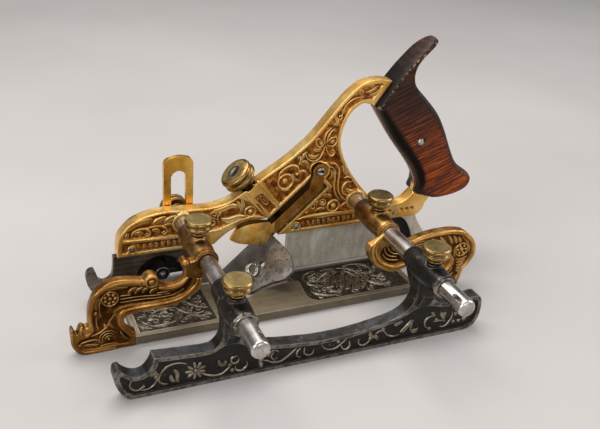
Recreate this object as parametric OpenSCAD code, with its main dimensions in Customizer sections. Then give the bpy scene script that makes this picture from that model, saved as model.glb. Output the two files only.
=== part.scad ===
// Combined plough and filletster plane.
// X runs from toe to heel, Y from the fence (negative) to the far side, Z up from the sole.

/* [Arms] */
// Diameter of the two steel arms
arm_d = 11.2; // [9.5:0.1:12]
// Distance between the two arm axes
arm_spacing = 128; // [118:1:138]
// Height of the arm axes above the sole
arm_z = 52; // [49:0.5:55]
// Length of arm that stands clear of the stock
arm_reach = 148; // [142:1:180]
// Diameter of the cross hole near the end of each arm
arm_hole_d = 2.6; // [1.5:0.1:4]

/* [Stock] */
// Thickness of the bronze stock
stock_t = 9.5; // [8.5:0.1:12]
// Height of the lower edge of the stock above the sole
stock_z = 31.6; // [29:0.1:33]
// Width of the plain rim round the carved panels
rim_w = 2.6; // [1.5:0.1:3.5]
// Depth of the carved panels below the rim
panel_depth = 1.2; // [0.5:0.1:1.8]

/* [Skates] */
// Thickness of the steel skates
skate_t = 4; // [3:0.1:5]
// Height of the skate tongue inside the stock
tongue_h = 8; // [6:0.1:9]
// Radius of the arch in the front skate
arch_r = 17.5; // [14:0.1:18.5]
// Depth of the relief in the rear skate
relief_depth = 2.6; // [1:0.1:2.8]
// Diameter of the skate rivets
rivet_d = 4; // [3:0.1:5]

/* [Handle] */
// Width of the wooden handle
tote_w = 20; // [17:0.5:24]
// Thickness of the tang inside the handle
tang_t = 4.2; // [3:0.1:6]
// Rounding of the handle's edges
tote_round = 5; // [3:0.1:5.5]
// Diameter of the handle rivet
handle_rivet_d = 4.6; // [3:0.1:6]

/* [Cutter] */
// Pitch of the cutter above the sole, in degrees
bed_angle = 42; // [40:0.5:44]
// Thickness of the cutter
cutter_t = 3; // [2:0.1:3.5]
// Thickness of the shank under the clamp
shank_t = 4.6; // [3.6:0.1:5]
// Twist of the wide blade about its own length, in degrees
cutter_skew = 16; // [14:0.5:18]
// Reach of the blade towards the fence, from the middle of the stock
blade_near = 36; // [33:0.5:37]
// Reach of the blade past the middle of the stock on the far side
blade_far = 5.5; // [4:0.5:8]
// Diameter of the hole in the blade
blade_hole_d = 4.6; // [3.5:0.1:6]
// Thickness of the wire coiled in that hole
wire_d = 1; // [0.7:0.1:1.3]

/* [Clamp] */
// Diameter of the brass clamp wheel
wheel_d = 24; // [20:0.5:27]
// Thickness of the clamp wheel
wheel_t = 9; // [7:0.1:10]
// Diameter of the clamp screw
clamp_screw_d = 5.4; // [4:0.1:6]
// Width of the clamp lever's bar
lever_w = 7; // [5.5:0.1:7.4]
// Diameter of the lever's pivot
pivot_d = 4; // [3:0.1:5]

/* [Bed] */
// Gap between the stock and the bed sleeves
bed_gap = 13; // [12:0.5:16]
// Length of the bed sleeves
sleeve_len = 41; // [36:0.5:44]
// Largest diameter of the bed sleeves
sleeve_d = 17.2; // [15.5:0.1:19]
// Width of the sole plate
plate_w = 45; // [42:0.5:47]
// Thickness of the sole plate
plate_t = 6.5; // [5.5:0.1:8]
// Depth of the ornament panels in the sole plate
plate_panel = 0.9; // [0.4:0.1:1.5]
// Thickness of the scroll brackets
bracket_t = 6.5; // [6:0.1:9]

/* [Fence] */
// Gap between the stock and the fence
fence_gap = 94; // [88:0.5:100]
// Thickness of the fence
fence_t = 9; // [7:0.5:12]
// Length of boss that stands past the fence towards the stock
boss_inner = 11; // [8:0.5:14]
// Length of the fence bosses
boss_len = 41; // [36:0.5:44]
// Largest diameter of the fence bosses
boss_d = 17.2; // [15.5:0.1:19]
// Depth of the vine panel on the fence
fence_panel = 1.4; // [0.6:0.1:2]

/* [Thumbscrews] */
// Diameter of the thumbscrew heads
thumb_d = 17.4; // [15:0.1:20]
// Diameter of the thumbscrew shanks
thumb_shank_d = 5; // [4:0.1:6]

/* [Depth stop] */
// Width of the slotted plate
stop_w = 20; // [18:0.5:24]
// Thickness of the slotted plate
stop_t = 3.5; // [2.5:0.1:5]
// Height of the top of the slotted plate above the sole
stop_top = 95.5; // [88:0.5:104]
// Width of the slot
stop_slot = 10.2; // [9:0.1:11]
// Height of the shoe's foot above the sole
shoe_z = 8; // [6:0.5:10]
// Diameter of the depth stop thumbscrew
stop_thumb_d = 19; // [16:0.5:22]

/* [Hidden] */
$fn = 64;

bronze = "#b98a3a";
steel = "#8d8b86";
iron = "#2b2a2a";
brass = "#b39a55";
rosewood = "#4a1d10";

// Running fit between a shaft and its hole
fit = 0.05;
// Gap between faces that pass each other
pass = 0.3;
// Overshoot of a cutting tool
eps = 0.5;

fx = -arm_spacing / 2;
rx = arm_spacing / 2;
arm_r = arm_d / 2;
near_y = -stock_t / 2;
far_y = stock_t / 2;
spigot_r = arm_r - 0.8;
collar_r = arm_r + 1.7;
collar = 1.2;

sleeve_y1 = near_y - bed_gap;
sleeve_y0 = sleeve_y1 - sleeve_len;
bed_screw_y = sleeve_y1 - sleeve_len * 0.54;
plate_y0 = sleeve_y0;
plate_y1 = plate_y0 + plate_w;
plate_x0 = fx - 45;
plate_x1 = rx + 27;

fence_y1 = near_y - fence_gap;
fence_y0 = fence_y1 - fence_t;
boss_y1 = fence_y1 + boss_inner;
boss_y0 = boss_y1 - boss_len;
fence_screw_y = boss_y1 - boss_len * 0.61;

// Line of the cutter bed: a point on it and its directions along and square to the slope
bed_x = 6.5;
bed_z = stock_z + 1.5;
slot_w = 15;
slot_len = 47;
pivot_s = slot_len + 3.5;
pivot_n = 17;
screw_s = 8;
wheel_seat_n = 43;
wheel_neck_r = clamp_screw_d / 2 + 2.4;
wheel_top_n = 60;

// Middle of the rear skate's sole, the origin of the part
rear_sole_x0 = 20;
rear_sole_x1 = 84;
origin_x = (rear_sole_x0 + rear_sole_x1) / 2;

// Curves

function spline_point(a, b, c, d, t) =
  0.5 * (2 * b + (c - a) * t + (2 * a - 5 * b + 4 * c - d) * t * t + (3 * b - a - 3 * c + d) * t * t * t);

// Smooth curve through a few points
function curve(p, n = 5) = [
  for (i = [0:len(p) - 2])
    for (k = [0:n - 1])
      spline_point(p[max(i - 1, 0)], p[i], p[i + 1], p[min(i + 2, len(p) - 1)], k / n),
  p[len(p) - 1]
];

// Arc about a centre, from one angle to another
function arc(c, r, a0, a1, n = 12) =
  [for (i = [0:n]) c + r * [cos(a0 + (a1 - a0) * i / n), sin(a0 + (a1 - a0) * i / n)]];

// Closed outline of [x, z, share] points, drawn anticlockwise, moved inwards by a share of d
function inset(p, d) = [
  for (i = [0:len(p) - 1])
    let (step = p[(i + 1) % len(p)] - p[(i + len(p) - 1) % len(p)], t = step / norm([step.x, step.y]))
      [p[i].x - d * p[i].z * t.y, p[i].y + d * p[i].z * t.x]
];

// Point of the stock's plane, s along the cutter bed and n square to it
function on_bed(s, n) = [
  bed_x + s * cos(bed_angle) - n * sin(bed_angle),
  bed_z + s * sin(bed_angle) + n * cos(bed_angle)
];

// Solids

module upright(points, y0, y1) {
  translate([0, y1, 0])
    rotate([90, 0, 0])
      linear_extrude(y1 - y0) polygon(points);
}

module rod(x, z, r, y0, y1) {
  translate([x, y1, z])
    rotate([90, 0, 0])
      cylinder(h = y1 - y0, r = r);
}

// Turned shape along Y, from profile points [radius, distance towards the fence]
module turned_y(x, y, z, profile) {
  translate([x, y, z])
    rotate([90, 0, 0])
      rotate_extrude() polygon(profile);
}

// Closed solid through rings of points that follow one another towards the far side.
// The end rings are closed by cells, each a list of [first, last] runs of ring points.
module loft(rings, cells) {
  n = len(rings[0]);
  m = len(rings);
  sides = [
    for (j = [0:m - 2]) for (i = [0:n - 1])
      let (a = j * n + i, b = j * n + (i + 1) % n)
        each [[a, b, a + n], [b, b + n, a + n]]
  ];
  far_caps = [for (cell = cells) [for (run = cell) each [for (i = [run[0]:run[1]]) i]]];
  near_caps = [for (cap = far_caps) reversed(cap)];
  caps = concat(near_caps, [for (cap = far_caps) [for (i = cap) (m - 1) * n + i]]);
  polyhedron([for (ring = rings) each ring], concat(sides, caps), convexity = 6);
}

// Stock

// Handle outline points are [x, z, share of the edge rounding]
tote_front = [
  [72, 122.5, 0.6], [88, 98, 1.7], [103.5, 78.4, 1.7], [111.5, 67, 1.4],
  [114.6, 59, 0.8], [113.5, 51.5, 0.15]
];
tote_joint_low = [128, 46.2];
tote_joint_high = [84, 139.8];

stock_top = [
  [-108.2, stock_z], [-107.4, 41], [-105.6, 47.5], [-98.7, 55], [-88.6, 59.4], [-75.7, 61.2],
  [-63.3, 60.6], [-46.4, 59.8], [-36.5, 61], [-29.3, 63.6], [-23, 67.7], [-8.4, 77], [8.4, 87.6],
  [19, 96], [28, 104], [45.8, 125.5], [56.2, 135.6], [64.4, 140], [75, 141.5]
];
loop_edge = [
  [72, 122.5], [64, 125.3], [57.4, 122.3], [52.6, 116.3], [49.3, 107.5], [48.3, 98], [50.7, 89],
  [55, 80], [60.5, 71.2], [70, 59.5], [78, 51], [86, 45.2], [96, 43.2], [106, 44.8], [113.5, 51.5]
];
throat_arch = [[-42, stock_z], [-32.3, 39.4], [-23.5, 43], [-13, 45.3], [-2.8, 46.5]];
tail_edge = [[118, stock_z], [123, 36], [124.6, 41], tote_joint_low];

function reversed(p) = [for (i = [len(p) - 1:-1:0]) p[i]];

stock_outline = concat(
  [[4.9, stock_z]],
  curve(tail_edge, 4),
  reversed(curve(loop_edge)),
  [tote_joint_high],
  reversed(curve(stock_top)),
  curve(throat_arch)
);

// Carved fields: front, band under it, round the slot and up the neck, foot of the stock, tail notches
front_panel = concat(
  [[-104, 44.2], [-44, 42.6], [-33, 45], [-24, 48.5], [-14, 50], on_bed(2, slot_w + rim_w)],
  [on_bed(4, 29)],
  curve([[-25.4, 64.2], [-30.4, 61.4], [-37, 59.2], [-46.4, 58.2], [-63.3, 59], [-75.7, 59.6],
         [-88.2, 57.8],
         [-97.4, 53.4], [-103.4, 47]])
);
lower_panel = [[-105, stock_z + rim_w], [-45, stock_z + rim_w], [-46, 39.6], [-104.5, 41.2]];
screw_panel = [on_bed(5, slot_w + rim_w), on_bed(11, slot_w + rim_w), on_bed(11, 34), on_bed(5, 36)];
rear_field = concat(
  [on_bed(14, slot_w + rim_w), [-7.6, 74.8]],
  curve([[-5, 76.6], [9.7, 85.8], [20.4, 94.3], [29.6, 102.5], [47.4, 124], [57.6, 133.8], [65, 137.8],
         [77, 138.2]]),
  curve([[70, 127.8], [63.6, 127.8], [56, 124.4], [50.6, 117.4], [47.1, 108], [46.1, 98], [48.5, 88.4],
         [53, 79], [58.8, 70], [66, 60.8]]),
  [[62, 52], [62, stock_z + 12], on_bed(12, -rim_w), on_bed(slot_len + rim_w, -rim_w)],
  [on_bed(slot_len + rim_w, slot_w + rim_w)]
);
foot_panel = [[14, stock_z + rim_w], [76, stock_z + rim_w], [72, stock_z + 9.2], [22, stock_z + 9.2]];
tail_notches = [for (x = [94.6, 104.4, 109.2, 113.6]) [[x - 1.7, 39.4], [x, 36], [x + 1.7, 39.4]]];

stock_panels = [
  front_panel, lower_panel, rear_field, foot_panel, each tail_notches
];

// The tang shows as a thin line down the front of the handle
tang_proud = 0.2;
tang_outline = concat(
  [for (p = curve(tote_front)) [p.x - tang_proud, p.y - tang_proud / 2]],
  [tote_joint_low + [-1, 0]],
  curve([[129, 58], [124, 75], [112, 97], [97, 118], [85, 135]]),
  [[79, 134.6]]
);

rivet_places = [[-98, stock_z + 4.4], [-50, stock_z + 4.4], [19.8, stock_z + 4.6],
[99.2, stock_z + 4.2]];
handle_rivet_place = [109.9, 94];

module carved(points) {
  for (side = [-1, 1])
    translate([0, side * (stock_t / 2), 0])
      upright(points, -panel_depth, panel_depth);
}

module slot_cut() {
  corners = [on_bed(-9, 0), on_bed(slot_len, 0), on_bed(slot_len, slot_w), on_bed(-9, slot_w)];
  upright(corners, near_y - eps, far_y + eps);
}

// Frame of the clamp screw: local Z points from the slot out through the wheel
module on_screw_axis(n) {
  p = on_bed(screw_s, n);
  translate([p.x, 0, p.y])
    rotate([0, -bed_angle, 0])
      children();
}

module main_stock() {
  color(bronze)
    difference() {
      union() {
        upright(stock_outline, near_y, far_y);
        upright(tang_outline, -tang_t / 2, tang_t / 2);
        for (x = [fx, rx]) rod(x, arm_z, collar_r, near_y - collar, far_y - 1);
      }
      difference() {
        for (p = stock_panels) carved(p);
        for (x = [fx, rx]) rod(x, arm_z, collar_r, near_y - 2, far_y + 2);
        for (p = rivet_places) rod(p.x, p.y, rivet_d / 2 + 1, near_y - 2, far_y + 2);
        rod(on_bed(pivot_s, pivot_n).x, on_bed(pivot_s, pivot_n).y, pivot_d / 2 + 4, near_y - 2, far_y + 2);
      }
      carved(screw_panel);
      slot_cut();
      rod(fx, arm_z, spigot_r, near_y - 2, 0);
      rod(fx, arm_z, thumb_shank_d / 2 + fit, -eps, far_y + eps);
      rod(rx, arm_z, spigot_r, near_y - 2, far_y + eps);
      rod(on_bed(pivot_s, pivot_n).x, on_bed(pivot_s, pivot_n).y, pivot_d / 2, near_y - 2, far_y - 2);
      on_screw_axis(slot_w - eps) cylinder(h = 40, d = clamp_screw_d + 2 * fit);
      on_screw_axis(wheel_seat_n) cylinder(h = 20, r = wheel_neck_r + pass);
      for (p = rivet_places) rod(p.x, p.y, rivet_d / 2, near_y - eps, far_y + eps);
      rod(handle_rivet_place.x, handle_rivet_place.y, handle_rivet_d / 2, -tang_t, tang_t);
      tongue_slot(front_tongue);
      tongue_slot(rear_tongue);
    }
}

// Skates

front_tongue = [-104, -46];
rear_tongue = [14.5, 112];
arch_c = [-78.4, 10];

module tongue_slot(span) {
  translate([span[0], -skate_t / 2, stock_z - eps])
    cube([span[1] - span[0], skate_t, tongue_h + eps]);
}

front_skate_outline = concat(
  [[-110, 0], [-42, 0], [-43.5, stock_z], [front_tongue[1], stock_z]],
  [[front_tongue[1], stock_z + tongue_h], [front_tongue[0], stock_z + tongue_h], [front_tongue[0],
  stock_z]],
  curve([[-110.2, stock_z], [-110.8, 21], [-112.5, 16.3], [-116.5, 14], [-120, 15.6], [-121.6, 20],
         [-123, 23.6], [-125.4, 24], [-127.8, 21.8], [-128.5, 17.5], [-127, 11], [-123.4, 5.4],
         [-118, 1.3], [-110, 0]])
);

module front_skate() {
  color(steel)
    difference() {
      upright(front_skate_outline, -skate_t / 2, skate_t / 2);
      rod(arch_c.x, arch_c.y, arch_r, -skate_t, skate_t);
      for (p = rivet_places) rod(p.x, p.y, rivet_d / 2, -skate_t, skate_t);
    }
}

rear_skate_outline = concat(
  curve([[14, 14], [14.6, 5], [rear_sole_x0, 0]]),
  curve([[138, 0], [140, 2.6], [138, 6], [133, 10.5], [126.8, 17.3], [121, 26.5], [118.6, stock_z]]),
  [[rear_tongue[1], stock_z], [rear_tongue[1], stock_z + tongue_h], [rear_tongue[0],
  stock_z + tongue_h]],
  [[rear_tongue[0], stock_z - 2]]
);
relief_outline = concat(
  [[rear_sole_x1, -eps], [122.3, -eps]],
  curve([[122, 2], [120.2, 8], [115.7, 19.9], [108.9, 29], [100, 30.6], [92, 26], [86.5, 15],
         [rear_sole_x1, 2]])
);

module rear_skate() {
  color(steel)
    difference() {
      upright(rear_skate_outline, -skate_t / 2, skate_t / 2);
      upright(relief_outline, -skate_t / 2 - eps, relief_depth - skate_t / 2);
      for (p = rivet_places) rod(p.x, p.y, rivet_d / 2, -skate_t, skate_t);
    }
}

module skate_rivets() {
  color(steel)
    for (p = rivet_places) rod(p.x, p.y, rivet_d / 2, near_y, far_y);
}

// Handle

tote_outline = concat(
  curve(tote_front),
  [[tote_joint_low.x, tote_joint_low.y, 0.4]],
  curve([[133, 45.8, 0.4], [146, 47, 0.5], [156.5, 50.8, 0.6], [160.4, 57, 0.6], [158.6, 62.6, 0.6],
         [151.6, 67.6, 0.8], [144.9, 74, 1], [138.3, 85.8, 1], [131.3, 100.5, 1], [123.8, 113, 1],
         [113.5, 124.3, 0.9], [102.8, 135, 0.6],
         [99.4, 142.4, 0.4], [100.4, 150, 0.3], [105.5, 157, 0.25], [113.6, 164, 0.15],
         [115.6, 166.6, 0.1],
         [113.4, 168.2, 0.15], [106.5, 163.4, 0.25], [99, 156.6, 0.3], [91, 148.4, 0.3]], 4),
  [[tote_joint_high.x, tote_joint_high.y, 0.3]]
);

// Runs of outline points round the butt, the grip and the horn
tote_cells = [
  [[15, 51]], [[10, 15], [51, 55]], [[5, 10], [55, 59]], [[0, 5], [59, 67]],
  [[0, 0], [67, 75], [107, 108]], [[75, 79], [103, 107]], [[79, 83], [99, 103]], [[83, 99]]
];

// Flat ridge on each side of the tang
tote_ridge = 0.6;

module handle_tote() {
  h = tote_w / 2;
  side = h - tang_t / 2 - tote_ridge;
  shape = [for (a = [0:22.5:90]) [h - side * (1 - cos(a)), tote_round * (1 - sin(a))]];
  layers = concat([for (l = shape) [-l[0], l[1]]], [for (l = reversed(shape)) l]);
  color(rosewood)
    difference() {
      loft([for (l = layers) [for (p = inset(tote_outline, l[1])) [p.x, l[0], p.y]]], tote_cells);
      upright(tang_outline, -tang_t / 2, tang_t / 2);
      rod(handle_rivet_place.x, handle_rivet_place.y, handle_rivet_d / 2, -tote_w, tote_w);
    }
}

module handle_rivet() {
  color(steel)
    rod(handle_rivet_place.x, handle_rivet_place.y, handle_rivet_d / 2, -tote_w / 2, tote_w / 2);
}

// Arms

arm_hole_y = 10.6;

module arm(x, spigot_y1, hole_turn) {
  end_y = near_y - arm_reach;
  shoulder = spigot_y1 - near_y + collar;
  dome = 2.4;
  color(steel)
    difference() {
      turned_y(x, spigot_y1, arm_z, concat(
        [[0, 0], [spigot_r, 0], [spigot_r, shoulder], [arm_r, shoulder]],
        [for (a = [0:15:90]) [arm_r - dome + dome * cos(a), spigot_y1 - end_y - dome + dome * sin(a)]],
        [[0, spigot_y1 - end_y]]
      ));
      translate([x, end_y + arm_hole_y, arm_z])
        rotate([0, hole_turn, 0])
          cylinder(h = arm_d + 2 * eps, d = arm_hole_d, center = true);
    }
}

module front_arm() {
  arm(fx, 0, 30);
}

module rear_arm() {
  arm(rx, far_y, -39);
}

// Cutter: local X up the slope, local Y across, local Z off the bed

shank_w = skate_t;
shank_seat = 0.2;

module on_slope() {
  translate([bed_x, 0, bed_z])
    rotate([0, -bed_angle, 0])
      children();
}

module blade_frame() {
  on_slope() rotate([cutter_skew, 0, 0]) children();
}

blade_hole = [-23.5, -15];
blade_lower = -62;
shank_lower = -16;

module cutter() {
  near = -blade_near / cos(cutter_skew);
  far = blade_far / cos(cutter_skew);
  outline = concat(
    [[blade_lower, far], [blade_lower, near + 11.6], [-43, near + 11.2], [-36.5, near + 9.8]],
    [[-27, near + 5.8], [-20, near + 1.2], [-17.4, near]],
    curve([[-11.5, near], [-8.7, near + 2], [-6.2, near + 6.8], [-4.4, near + 13], [-3.6, near + 20],
           [-4.6, -3]], 4),
    [[-4.6, far]]
  );
  color(steel)
    difference() {
      union() {
        blade_frame() linear_extrude(cutter_t) polygon(outline);
        on_slope()
          translate([shank_lower, -shank_w / 2, shank_seat])
            cube([slot_len - 1 - shank_lower, shank_w, shank_t]);
      }
      blade_frame()
        translate([blade_hole.x, blade_hole.y, -eps])
          cylinder(h = cutter_t + 2 * eps, d = blade_hole_d);
      translate([-90, -60, -40]) cube([140, 120, 40]);
    }
}

// Wire coil beside the hole in the blade; its end goes down through the hole
wire_r = 4;
wire_pitch = 2;
wire_turns = 2;
wire_lift = cutter_t + wire_r + wire_d / 2 + 0.2;
wire_path = concat(
  [for (i = [0:24 * wire_turns])
    let (t = 180 - 360 * wire_turns + 15 * i)
      [blade_hole.x - wire_r * (1 + cos(t)), blade_hole.y - wire_pitch * (180 - t) / 360,
       wire_lift + wire_r * sin(t)]],
  [for (z = [wire_lift - 2, cutter_t, cutter_t / 2]) [blade_hole.x, blade_hole.y, z]]
);
wire_gap = min([
  for (i = [0:len(wire_path) - 20]) for (j = [i + 18:len(wire_path) - 1])
    norm(wire_path[i] - wire_path[j])
]) - wire_d;

// Tube with six sides along points that never run along the local Y axis
module tube(path, d) {
  n = len(path);
  sides = 6;
  points = [
    for (i = [0:n - 1])
      let (t = path[min(i + 1, n - 1)] - path[max(i - 1, 0)],
           u = cross([0, 1, 0], t) / norm(cross([0, 1, 0], t)), v = cross(t, u) / norm(cross(t, u)))
        for (k = [0:sides - 1]) path[i] + d / 2 * (u * cos(360 * k / sides) + v * sin(360 * k / sides))
  ];
  walls = [
    for (i = [0:n - 2]) for (k = [0:sides - 1])
      let (a = i * sides + k, b = i * sides + (k + 1) % sides)
        each [[a, a + sides, b], [b, a + sides, b + sides]]
  ];
  caps = [[for (k = [0:sides - 1]) k], [for (k = [0:sides - 1]) n * sides - 1 - k]];
  polyhedron(points, concat(walls, caps));
}

module cutter_wire() {
  echo(least_gap_in_wire_coil = wire_gap);
  color(steel) blade_frame() tube(wire_path, wire_d);
}

// Clamp

lever_n = shank_seat + shank_t + pass;

module clamp_lever() {
  p = on_bed(pivot_s, pivot_n);
  y0 = near_y - 3.4;
  y1 = near_y - 0.3;
  head_r = pivot_d / 2 + 3.6;
  arm_outline = [
    on_bed(-2.6, lever_n - 0.4), on_bed(pivot_s - 8, lever_n - 0.4),
    on_bed(pivot_s + head_r - 0.6, pivot_n - 2),
    on_bed(pivot_s - head_r + 0.6, pivot_n + 2), on_bed(pivot_s - 14, lever_n + lever_w + 0.4),
    on_bed(-2.6, lever_n + lever_w + 0.4)
  ];
  bar_outline = [
    on_bed(-2, lever_n), on_bed(slot_len - 1, lever_n), on_bed(slot_len - 1, lever_n + lever_w),
    on_bed(-2, lever_n + lever_w)
  ];
  leaf = concat(
    curve([[0.3, 38.6], [-1.4, 43], [-5, 46], [-16.2, 46.6], [-24.6, 44.4], [-29.4, 38.6]], 4),
    curve([[-31.2, 34.8], [-26.6, 32.4], [-18.6, 30.8], [-8.4, 29], [-5, 30.6]], 4)
  );
  leaf_c = [-14, 38];
  // The near face of the leaf is crowned
  leaf_rise = 3;
  leaf_crown = 42;
  color(bronze)
    difference() {
      union() {
        upright(arm_outline, y0, y1);
        upright(bar_outline, y0 + 1, shank_w / 2 - 1);
        intersection() {
          upright(leaf, y0 - leaf_rise, y1 - 0.4);
          translate([leaf_c.x, y0 - leaf_rise + leaf_crown, leaf_c.y]) sphere(leaf_crown);
        }
        rod(p.x, p.y, head_r, y0 - 0.6, y1);
      }
      rod(p.x, p.y, pivot_d / 2 + fit, y0 - 2, y1 + eps);
    }
}

module clamp_pivot_screw() {
  p = on_bed(pivot_s, pivot_n);
  y0 = near_y - 4.2;
  color(steel)
    difference() {
      union() {
        rod(p.x, p.y, pivot_d / 2, y0, far_y - 2);
        turned_y(p.x, y0, p.y, [[0, 0], [3.1, 0], [3.1, 0.8], [2.4, 1.5], [0, 1.7]]);
      }
      translate([p.x, y0 - 1.4, p.y])
        rotate([0, 20, 0])
          cube([8, 1.6, 0.8], center = true);
    }
}

module clamp_wheel() {
  r = wheel_d / 2;
  bore_r = clamp_screw_d / 2 + fit;
  head_r = clamp_screw_d / 2 + 2 + fit;
  z0 = wheel_top_n - wheel_t;
  color(brass)
    on_screw_axis(0)
      rotate_extrude() polygon(concat(
        [[head_r, wheel_top_n], [head_r, wheel_top_n - 2], [bore_r, wheel_top_n - 2],
        [bore_r, wheel_seat_n]],
        [[wheel_neck_r, wheel_seat_n], [wheel_neck_r, z0 - 1], [r - 2, z0]],
        [for (a = [-60:30:60]) [r - 2 + 2 * cos(a), z0 + 2 + 2 * sin(a)]],
        [[r - 1.4, wheel_top_n - wheel_t / 2 - 0.3]],
        [for (a = [-60:30:90]) [r - 2.2 + 2 * cos(a), wheel_top_n - 2.4 + 2 * sin(a)]],
        [[r - 3, wheel_top_n]]
      ));
}

module clamp_screw() {
  r = clamp_screw_d / 2;
  color(steel)
    difference() {
      on_screw_axis(0)
        rotate_extrude() polygon([
          [0, lever_n + lever_w + pass], [r - 1, lever_n + lever_w + pass],
          [r, lever_n + lever_w + pass + 1],
          [r, wheel_top_n - 2], [r + 2, wheel_top_n - 2], [r + 2, wheel_top_n - 0.2], [0, wheel_top_n]
        ]);
      on_screw_axis(wheel_top_n)
        rotate([0, 0, 25])
          cube([14, 1.2, 1.8], center = true);
    }
}

// Bed

module sleeve(x, d, y1, length) {
  r = d / 2;
  turned_y(x, y1, arm_z, concat(
    [[0, 0], [r - 1.6, 0]],
    curve([[r - 1.2, 1], [r - 0.2, length * 0.3], [r, length * 0.55], [r - 0.8, length * 0.8],
           [r - 1.6, length - 4]]),
    [for (a = [-90:30:90]) [r - 1.7 + 1.1 * cos(a), length - 1.6 + 1.1 * sin(a)]],
    [[r - 2, length], [0, length]]
  ));
}

module screw_seat(x, y, d) {
  translate([x, y, arm_z]) cylinder(h = d / 2 + 1, d = thumb_shank_d + 5);
}

module arm_bore(x, y0, y1) {
  rod(x, arm_z, arm_r + fit, y0 - eps, y1 + eps);
}

module thumb_bore(x, y) {
  translate([x, y, arm_z]) cylinder(h = 40, d = thumb_shank_d + 2 * fit);
}

tenon = [13, 4.5, 2.6];
tenon_z = 2.2;

// Tenon of a bracket inside the end of the sole plate; side is 1 at the heel and -1 at the toe
module bed_tenon(side) {
  x = side < 0 ? plate_x0 : plate_x1 - tenon.x;
  translate([x, plate_y0 + (bracket_t - tenon.y) / 2, tenon_z]) cube(tenon);
}

function bed_screw_x(side) = side < 0 ? plate_x0 + tenon.x / 2 : plate_x1 - tenon.x / 2;
bed_screw_depth = tenon_z + tenon.z;

module bed_screw(side) {
  translate([bed_screw_x(side), plate_y0 + bracket_t / 2, 0])
    rotate_extrude() polygon([[0, 0], [2.6, 0], [1.3, 1.5], [1.3, bed_screw_depth],
                              [0, bed_screw_depth]]);
}

front_scroll = concat(
  [[plate_x0, 0], [plate_x0, plate_t + 3.5]],
  curve([[plate_x0 - 2, 11], [plate_x0 - 6, 15], [plate_x0 - 7.4, 19.4], [plate_x0 - 6, 22],
         [plate_x0 - 3, 23.4], [plate_x0 + 2, 23.9], [fx - 36, arm_z - 27.8], [fx - 28, arm_z - 27.4],
         [fx - 21, arm_z - 26.8], [fx - 15, arm_z - 25.2], [fx - 9.6, arm_z - 22.6],
         [fx - 5.4, arm_z - 19.4],
         [fx - 3, arm_z - 15], [fx - 2, arm_z - 8]]),
  [[fx, arm_z], [fx - 8, arm_z - 2]],
  curve([[fx - 12, arm_z - 6], [fx - 15.6, arm_z - 10], [fx - 20, arm_z - 12.4],
         [fx - 25.3, arm_z - 12.6],
         [fx - 30.2, arm_z - 10.2], [fx - 35, arm_z - 7], [fx - 41.5, arm_z - 5.3],
         [fx - 51, arm_z - 3.6],
         [fx - 58.4, arm_z - 3.8], [fx - 64, arm_z - 6.2], [fx - 68.4, arm_z - 10],
         [fx - 71.6, arm_z - 16.5],
         [fx - 73.2, arm_z - 24], [fx - 73.4, 19]]),
  curve([[fx - 75.4, 18.8], [fx - 77.2, 20.4], [fx - 79, 18.6], [fx - 80.4, 14.5], [fx - 82, 18.4],
         [fx - 83.4, 19.2], [fx - 84, 16], [fx - 83.6, 10], [fx - 82, 5.2], [fx - 79.2, 2],
         [fx - 75, 0]])
);

bracket_carve = 1;
front_field = concat(
  curve([[-122, 27.4], [-118.4, 29.6], [-112, 30.2], [-100, 30], [-90, 29.8], [-83, 30.8], [-77.4, 33.4],
         [-73.8, 37.4], [-72.4, 42.4]], 3),
  curve([[-74.6, 43.6], [-77.6, 40], [-82, 37], [-88, 36.2], [-93, 37.6], [-97.6, 40.4], [-104, 42.6],
         [-114, 44.4], [-121.6, 44.4], [-127.4, 42], [-131.4, 38], [-134, 32], [-134.8, 26],
         [-134.6, 20],
         [-134.4, 15], [-138, 12], [-142, 11], [-144.4, 8], [-141, 4], [-134, 2.6]], 3),
  curve([[-113, 2.8], [-112.4, 6], [-116, 11], [-119.4, 16], [-120, 20.4], [-121, 24]], 3)
);

front_web = [[fx - 14, arm_z - 8], [fx - 6, arm_z - 6], [fx - 6, arm_z + 3], [fx - 14, arm_z + 1]];

// Round bosses on the scroll, each [x, z, radius]
front_beads = [[fx - 35, arm_z - 6.8, 4.5], [fx - 14, arm_z + 1.7, 2.6]];

module bed_front_bracket() {
  color(bronze)
    difference() {
      union() {
        upright(front_scroll, plate_y0, plate_y0 + bracket_t);
        sleeve(fx, sleeve_d, sleeve_y1, sleeve_len);
        screw_seat(fx, bed_screw_y, sleeve_d);
        for (p = front_beads) rod(p.x, p.y, p.z, plate_y0 - 1, plate_y0 + bracket_t);
        upright(front_web, plate_y0, plate_y0 + bracket_t);
        bed_tenon(-1);
      }
      difference() {
        upright(front_field, plate_y0 - eps, plate_y0 + bracket_carve);
        for (p = front_beads) rod(p.x, p.y, p.z, plate_y0 - 2, plate_y0 + bracket_t);
      }
      arm_bore(fx, sleeve_y0, sleeve_y1);
      thumb_bore(fx, bed_screw_y);
      bed_screw(-1);
    }
}

rear_carve = concat(
  curve([[60, 42.6], [57.6, 38], [59.6, 33], [65, 28.8], [71, 27.2], [78, 28], [86, 29.6], [96, 30.4],
         [106, 30.6], [113.6, 29.4], [118.6, 25], [118.4, 18], [114, 12.6], [106, 8.6], [98, 6]], 3),
  [[98, 3]],
  curve([[122.4, 3], [124, 9], [126, 14.4], [130.6, 20], [133.4, 26], [132.6, 32], [129.4, 37],
         [123.6, 41.6],
         [116.6, 43.8], [107.6, 44.6], [99, 44.2], [90.4, 43], [82, 40.4], [76, 40.6], [70, 42.6]], 3)
);

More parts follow.
